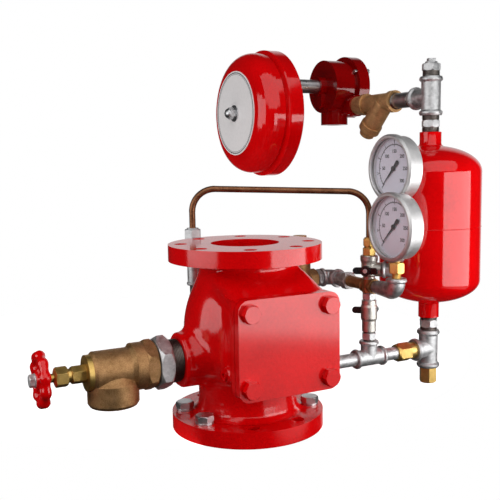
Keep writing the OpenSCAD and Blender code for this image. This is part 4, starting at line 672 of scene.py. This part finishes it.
def handwheel_field(p):
    """Distance from the wheel, whose axis lies along X through its centre."""
    x, y, z = p[..., 0], p[..., 1], p[..., 2]
    r, angle = np.hypot(y, z), np.arctan2(z, y)
    lobe = WHEEL_LOBE * np.cos(WHEEL_LOBES * (angle - math.pi / 2))
    rim = np.hypot(r - WHEEL_RIM_R - lobe, x) - WHEEL_TUBE_R - lobe
    part = 2 * math.pi / WHEEL_SPOKES
    across = r * np.sin((angle - math.pi / 2 + part / 2) % part - part / 2)
    spokes = np.maximum(np.hypot(across, x) - SPOKE_R, r - WHEEL_RIM_R)
    hub = smooth_max(r - WHEEL_HUB_R, np.abs(x) - WHEEL_HUB_HALF, HUB_EDGE)
    d = smooth_min(smooth_min(rim, spokes, RIM_BLEND), hub, HUB_BLEND)
    return np.maximum(d, WHEEL_BORE_R - r)


def cast_handwheel():
    low, high = (np.array(v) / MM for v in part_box("drain_handwheel"))
    centre = (low + high) / 2
    reach = high - centre + WHEEL_MARGIN
    points, quads = surface_net(handwheel_field, low - centre - WHEEL_MARGIN, reach, WHEEL_STEP)
    mesh = bpy.data.meshes.new("cast_handwheel")
    mesh.from_pydata((points + centre) * MM, [], quads.tolist())
    mesh.polygons.foreach_set("use_smooth", [True] * len(mesh.polygons))
    mesh.materials.append(SMOOTH_RED)
    obj = new_object("cast_handwheel", mesh)
    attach(obj, "drain_wheel")
    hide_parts("drain_handwheel")


cast_handwheel()


# Retarding chamber with the full dished ends of the photograph, in mm

CHAMBER_R, CHAMBER_LOW, CHAMBER_HIGH = 84.0, 152.0, 416.4
LOW_DISH, HIGH_DISH, DISH_STEPS = 40.0, 44.0, 24
LOW_NECK_R, TOP_NECK_R, NECK_BORE_R = 17.25, 18.0, 13.6
NECK_FILLET, FILLET_HOLLOW = 4.0, 0.3
SHARP_ANGLE = math.radians(50)
SEAM_Z, SEAM_R, SEAM_CROWN, SEAM_SIDES = 281.5, 83.8, 0.8, 8
AROUND = 128


def lathe(profile, axis_x, axis_y):
    """Points in metres and faces of a closed profile of radii and heights, turned round an upright axis."""
    points, faces = [], []
    for i in range(AROUND):
        turn = 2 * math.pi * i / AROUND
        for r, z in profile:
            x, y = axis_x + r * math.cos(turn), axis_y + r * math.sin(turn)
            points.append((x * MM, y * MM, z * MM))
    count = len(profile)
    for i in range(AROUND):
        here, there = i * count, (i + 1) % AROUND * count
        for k in range(count):
            m = (k + 1) % count
            faces.append((here + k, there + k, there + m, here + m))
    return points, faces


def dished_end(neck_r, pole_z, depth, outward):
    """Half profile of an end from its neck to the shell: a small weld fillet, then a quarter ellipse."""
    def height(r):
        return pole_z - outward * depth * (1 - math.sqrt(1 - (r / CHAMBER_R) ** 2))

    hollow = FILLET_HOLLOW * NECK_FILLET
    profile = [(neck_r, height(neck_r) + outward * NECK_FILLET)]
    profile.append((neck_r + hollow, height(neck_r) + outward * hollow))
    first = math.asin((neck_r + NECK_FILLET) / CHAMBER_R)
    for i in range(DISH_STEPS + 1):
        r = CHAMBER_R * math.sin(first + (math.pi / 2 - first) * i / DISH_STEPS)
        profile.append((r, height(r)))
    return profile


def dished_chamber():
    low, high = (Vector(v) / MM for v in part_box("retard_chamber"))
    bottom = dished_end(LOW_NECK_R, CHAMBER_LOW, LOW_DISH, -1)
    top = dished_end(TOP_NECK_R, CHAMBER_HIGH, HIGH_DISH, 1)
    profile = [(NECK_BORE_R, low.z), (LOW_NECK_R, low.z), *bottom, *reversed(top)]
    profile += [(TOP_NECK_R, high.z), (NECK_BORE_R, high.z)]
    points, faces = lathe(profile, (low.x + high.x) / 2, (low.y + high.y) / 2)
    mesh = bpy.data.meshes.new("dished_chamber")
    mesh.from_pydata(points, [], faces)
    mesh.polygons.foreach_set("use_smooth", [True] * len(mesh.polygons))
    mesh.set_sharp_from_angle(angle=SHARP_ANGLE)
    mesh.materials.append(SMOOTH_RED)
    obj = new_object("dished_chamber", mesh)
    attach(obj, "valve")
    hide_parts("retard_chamber")


dished_chamber()


# Small detail: threads, printing on the dials, needle tails, the chamber's seam and the label's rings

def add_piece(name, b, slot, smooth=True, body="valve", look=None):
    mesh = bpy.data.meshes.new(name)
    bmesh.ops.recalc_face_normals(b, faces=b.faces)
    b.to_mesh(mesh)
    b.free()
    mesh.polygons.foreach_set("use_smooth", [smooth] * len(mesh.polygons))
    mesh.materials.append(look or LOOKS[slot])
    obj = new_object(name, mesh)
    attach(obj, body)


# Threads that show: sizes are pipe radius and pitch, lines are places along a pipe and bare lengths, in mm
TWO_INCH, THREE_QUARTER = (30.15, 2.31), (13.45, 1.81)
THREE_EIGHTHS, QUARTER = (8.6, 1.34), (6.85, 1.34)
LEFT, BACK, UP = (-1, 0, 0), (0, 1, 0), (0, 0, 1)
CHAMBER_X, TRIM_X, TOP_TEE_Z = 351.5, 226.3, 496.0
CHAMBER_LINE = ((102.5, 5), (120.5, 5), (438.5, 7.7), (458.3, 7.7), (529.5, 9))
STRAINER_LINE = ((42, 9), (87.5, 6))
TRIM_LINE = ((98.5, 2.5), (112, 2.5))
DRAIN_THREAD_L, FRONT_GAUGE_THREAD_L, REAR_GAUGE_THREAD_L = 16, 8, 10
FRONT_GAUGE_FOOT, REAR_GAUGE_FOOT = (TRIM_X, -71, 211.4), (254.287, -33.951, 295)
THREADS = {
    "drain_thread": ("black_iron", (((-DRAIN_FACE, 0, DRAIN_Z), LEFT, DRAIN_THREAD_L, TWO_INCH),)),
    "steel_threads": ("black_iron", (
        *(((CHAMBER_X, 0, z), UP, length, THREE_QUARTER) for z, length in CHAMBER_LINE),
        *(((CHAMBER_X, y, TOP_TEE_Z), BACK, length, THREE_QUARTER) for y, length in STRAINER_LINE),
        *(((TRIM_X, 0, z), UP, length, THREE_EIGHTHS) for z, length in TRIM_LINE),
    )),
    "gauge_threads": ("brass", (
        (FRONT_GAUGE_FOOT, UP, FRONT_GAUGE_THREAD_L, QUARTER),
        (REAR_GAUGE_FOOT, UP, REAR_GAUGE_THREAD_L, QUARTER),
    )),
}

# The ridge of a thread: depth and half crest in pitches, the rest in mm
RIDGE_DEPTH, CREST_HALF = 0.5, 0.12
RIDGE_SINK, END_GAP, END_RISE = 0.05, 0.02, 0.4
TURN_STEPS = 40


def pipe_thread(b, start, along, length, size):
    """One helical ridge round a pipe, with its ends fading into the pipe."""
    radius, pitch = size
    depth = pitch * RIDGE_DEPTH
    ridge = ((-0.5, -RIDGE_SINK), (-CREST_HALF, depth), (CREST_HALF, depth), (0.5, -RIDGE_SINK))
    pipe_axes = Vector(along).to_track_quat("Z", "Y").to_matrix()
    rows = []
    for i in range(int(length / pitch * TURN_STEPS) + TURN_STEPS + 1):
        angle = 2 * math.pi * i / TURN_STEPS
        middle = pitch * (i / TURN_STEPS - 0.5)
        row = []
        for shift, rise in ridge:
            h = min(max(middle + shift * pitch, END_GAP), length - END_GAP)
            fade = min(1.0, (h + END_RISE) / pitch, (length - h + END_RISE) / pitch)
            r = radius + rise * fade
            p = pipe_axes @ Vector((r * math.cos(angle), r * math.sin(angle), h)) + Vector(start)
            row.append(b.verts.new(p * MM))
        rows.append(row)
    for low, high in zip(rows, rows[1:]):
        for k in range(len(ridge) - 1):
            b.faces.new((low[k], low[k + 1], high[k + 1], high[k]))


def make_threads():
    for name, (slot, places) in THREADS.items():
        b = bmesh.new()
        for place in places:
            pipe_thread(b, *place)
        add_piece(name, b, slot, look=CUT_STEEL if slot == "black_iron" else None)


# Gauge dials in mm and degrees, facing -X. Each scale: numbers past zero, their step, parts to a number
DIAL_DEPTH, INK_RISE = 12.5, 0.06
SCALE_SWEEP, SCALE_ZERO = 270.0, 225.0
ARC_R, ARC_HALF, ARC_STEPS = 38.0, 0.5, 90
BROAD_INK, FINE_INK = 1.3, 0.75
BAR_NUMBERS, BAR_STEP, BAR_PARTS = 8, 2, 5
POUND_NUMBERS, POUND_STEP, POUND_PARTS = 6, 50, 10
BAR_ENDS = (ARC_R + 3.4, ARC_R + 1.8)
POUND_ENDS = (ARC_R - 3.4, ARC_R - 1.7)
BAR_TEXT_R, BAR_TEXT_H = ARC_R + 5.4, 3.8
POUND_TEXT_R, POUND_TEXT_H = ARC_R - 11, 5.4
TEXT_SIZE, TEXT_WEIGHT = 1.4, 0.045
TAIL_TURN, TAIL_TIP, TAIL_TIP_R, TAIL_STEPS = 180.0, 17.0, 3.4, 8
TAIL_ROOT, TAIL_NECK = (1.5, 1.6), (9.0, 2.6)
TAIL_DEPTHS = (9.5, 10.7)


def dial_point(centre, turn, radius):
    """A point on a dial, where turn runs clockwise from zero at the lower left."""
    angle = math.radians(SCALE_ZERO - turn)
    across, up = radius * math.cos(angle), radius * math.sin(angle)
    return Vector((centre.x + DIAL_DEPTH - INK_RISE, centre.y - across, centre.z + up))


def ink_stroke(b, centre, turn, r0, r1, width):
    half0, half1 = (math.degrees(width / 2 / r) for r in (r0, r1))
    corners = ((turn - half0, r0), (turn + half0, r0), (turn + half1, r1), (turn - half1, r1))
    b.faces.new([b.verts.new(dial_point(centre, t, r) * MM) for t, r in corners])


def ink_arc(b, centre, r0, r1):
    turns = [SCALE_SWEEP * i / ARC_STEPS for i in range(ARC_STEPS + 1)]
    pairs = [[b.verts.new(dial_point(centre, t, r) * MM) for r in (r0, r1)] for t in turns]
    for (a, c), (d, e) in zip(pairs, pairs[1:]):
        b.faces.new((a, c, e, d))


def ink_divisions(b, centre, count, per_number, ends):
    """Strokes from the arc to the first of the end radii at a number, and to the second between numbers."""
    for i in range(count + 1):
        plain = i % per_number != 0
        r0, r1 = sorted((ARC_R, ends[plain]))
        ink_stroke(b, centre, SCALE_SWEEP * i / count, r0, r1, FINE_INK if plain else BROAD_INK)


def ink_number(b, text, centre, turn, radius, height):
    """A number set upright on the dial, from Blender's built-in typeface."""
    data = bpy.data.curves.new("number", "FONT")
    data.body = text
    data.size = height * TEXT_SIZE
    data.offset = height * TEXT_WEIGHT
    data.align_x, data.align_y = "CENTER", "CENTER"
    carrier = bpy.data.objects.new("number", data)
    mesh = bpy.data.meshes.new_from_object(carrier)
    place = dial_point(centre, turn, radius)
    upright = Matrix(((0, 0, -1, place.x), (-1, 0, 0, place.y), (0, 1, 0, place.z), (0, 0, 0, 1)))
    mesh.transform(Matrix.Scale(MM, 4) @ upright)
    b.from_mesh(mesh)
    bpy.data.meshes.remove(mesh)
    bpy.data.objects.remove(carrier)
    bpy.data.curves.remove(data)


def dial_scale(name, centre):
    """Two black scales on one arc: bar outside it, pounds to the square inch inside it."""
    outer = bmesh.new()
    ink_arc(outer, centre, ARC_R - ARC_HALF, ARC_R + ARC_HALF)
    ink_divisions(outer, centre, BAR_NUMBERS * BAR_PARTS, BAR_PARTS, BAR_ENDS)
    for i in range(BAR_NUMBERS + 1):
        turn = SCALE_SWEEP * i / BAR_NUMBERS
        ink_number(outer, str(i * BAR_STEP), centre, turn, BAR_TEXT_R, BAR_TEXT_H)
    add_piece(name + "_outer_scale", outer, "pointer_black", smooth=False)
    inner = bmesh.new()
    ink_divisions(inner, centre, POUND_NUMBERS * POUND_PARTS, POUND_PARTS, POUND_ENDS)
    for i in range(1, POUND_NUMBERS + 1):
        turn = SCALE_SWEEP * i / POUND_NUMBERS
        ink_number(inner, str(i * POUND_STEP), centre, turn, POUND_TEXT_R, POUND_TEXT_H)
    add_piece(name + "_inner_scale", inner, "pointer_black", smooth=False)


def tail_outline():
    """Half a round at the tip, a narrower neck and a still narrower root, as places along and across."""
    tip = []
    for i in range(TAIL_STEPS + 1):
        lean = math.pi * (i / TAIL_STEPS - 0.5)
        tip.append((TAIL_TIP - TAIL_TIP_R * (1 - math.cos(lean)), TAIL_TIP_R * math.sin(lean)))
    (root, root_w), (neck, neck_w) = TAIL_ROOT, TAIL_NECK
    return [(root, -root_w), (neck, -neck_w), *tip, (neck, neck_w), (root, root_w)]


def needle_tail(name, body, centre):
    """The broad counterweight of a needle, opposite its tip."""
    b = bmesh.new()
    out = (dial_point(centre, TAIL_TURN, 1) - dial_point(centre, 0, 0)).normalized()
    across = Vector((1, 0, 0)).cross(out)
    outline = tail_outline()
    rings = []
    for depth in TAIL_DEPTHS:
        at = Vector((centre.x + depth, centre.y, centre.z))
        rings.append([b.verts.new((at + out * u + across * v) * MM) for u, v in outline])
    for i in range(len(outline)):
        j = (i + 1) % len(outline)
        b.faces.new((rings[0][i], rings[0][j], rings[1][j], rings[1][i]))
    for ring in rings:
        b.faces.new(ring)
    add_piece(name, b, "pointer_black", smooth=False, body=body)


def make_dials():
    for joint in frame["joints"]:
        if joint["name"].endswith("needle_turn"):
            centre = Vector(joint["pos_m"]) / MM
            which = joint["name"].split("_")[0]
            dial_scale(which + "_dial", centre)
            needle_tail(which + "_needle_tail", joint["child"], centre)


def chamber_seam():
    """The fine crown of the weld round the middle of the retarding chamber."""
    low, high = (Vector(v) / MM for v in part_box("retard_chamber"))
    profile = []
    for k in range(SEAM_SIDES):
        lean = 2 * math.pi * k / SEAM_SIDES
        profile.append((SEAM_R + SEAM_CROWN * math.cos(lean), SEAM_Z + SEAM_CROWN * math.sin(lean)))
    points, faces = lathe(profile, (low.x + high.x) / 2, (low.y + high.y) / 2)
    b = bmesh.new()
    verts = [b.verts.new(p) for p in points]
    for face in faces:
        b.faces.new([verts[i] for i in face])
    add_piece("chamber_seam", b, "red_paint", look=SMOOTH_RED)


# Each ring of the label: how far in from its edge the ring begins and ends, in mm
LABEL_RINGS = ((4.2, 2.6), (6.4, 5.8))
RING_STEPS = 96


def label_border():
    """Two fine printed rings that edge the bare gong label."""
    low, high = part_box("gong_label")
    centre = (low + high) / 2 / MM
    edge = (high.z - low.z) / 2 / MM
    face_x = low.x / MM - INK_RISE
    b = bmesh.new()
    for insets in LABEL_RINGS:
        pairs = []
        for i in range(RING_STEPS):
            turn = 2 * math.pi * i / RING_STEPS
            out = Vector((0, math.cos(turn), math.sin(turn)))
            middle = Vector((face_x, centre.y, centre.z))
            pairs.append([b.verts.new((middle + out * (edge - inset)) * MM) for inset in insets])
        for i in range(RING_STEPS):
            (p, q), (r, t) = pairs[i], pairs[(i + 1) % RING_STEPS]
            b.faces.new((p, q, t, r))
    add_piece("label_border", b, "pointer_black", smooth=False)


make_threads()
make_dials()
chamber_seam()
label_border()
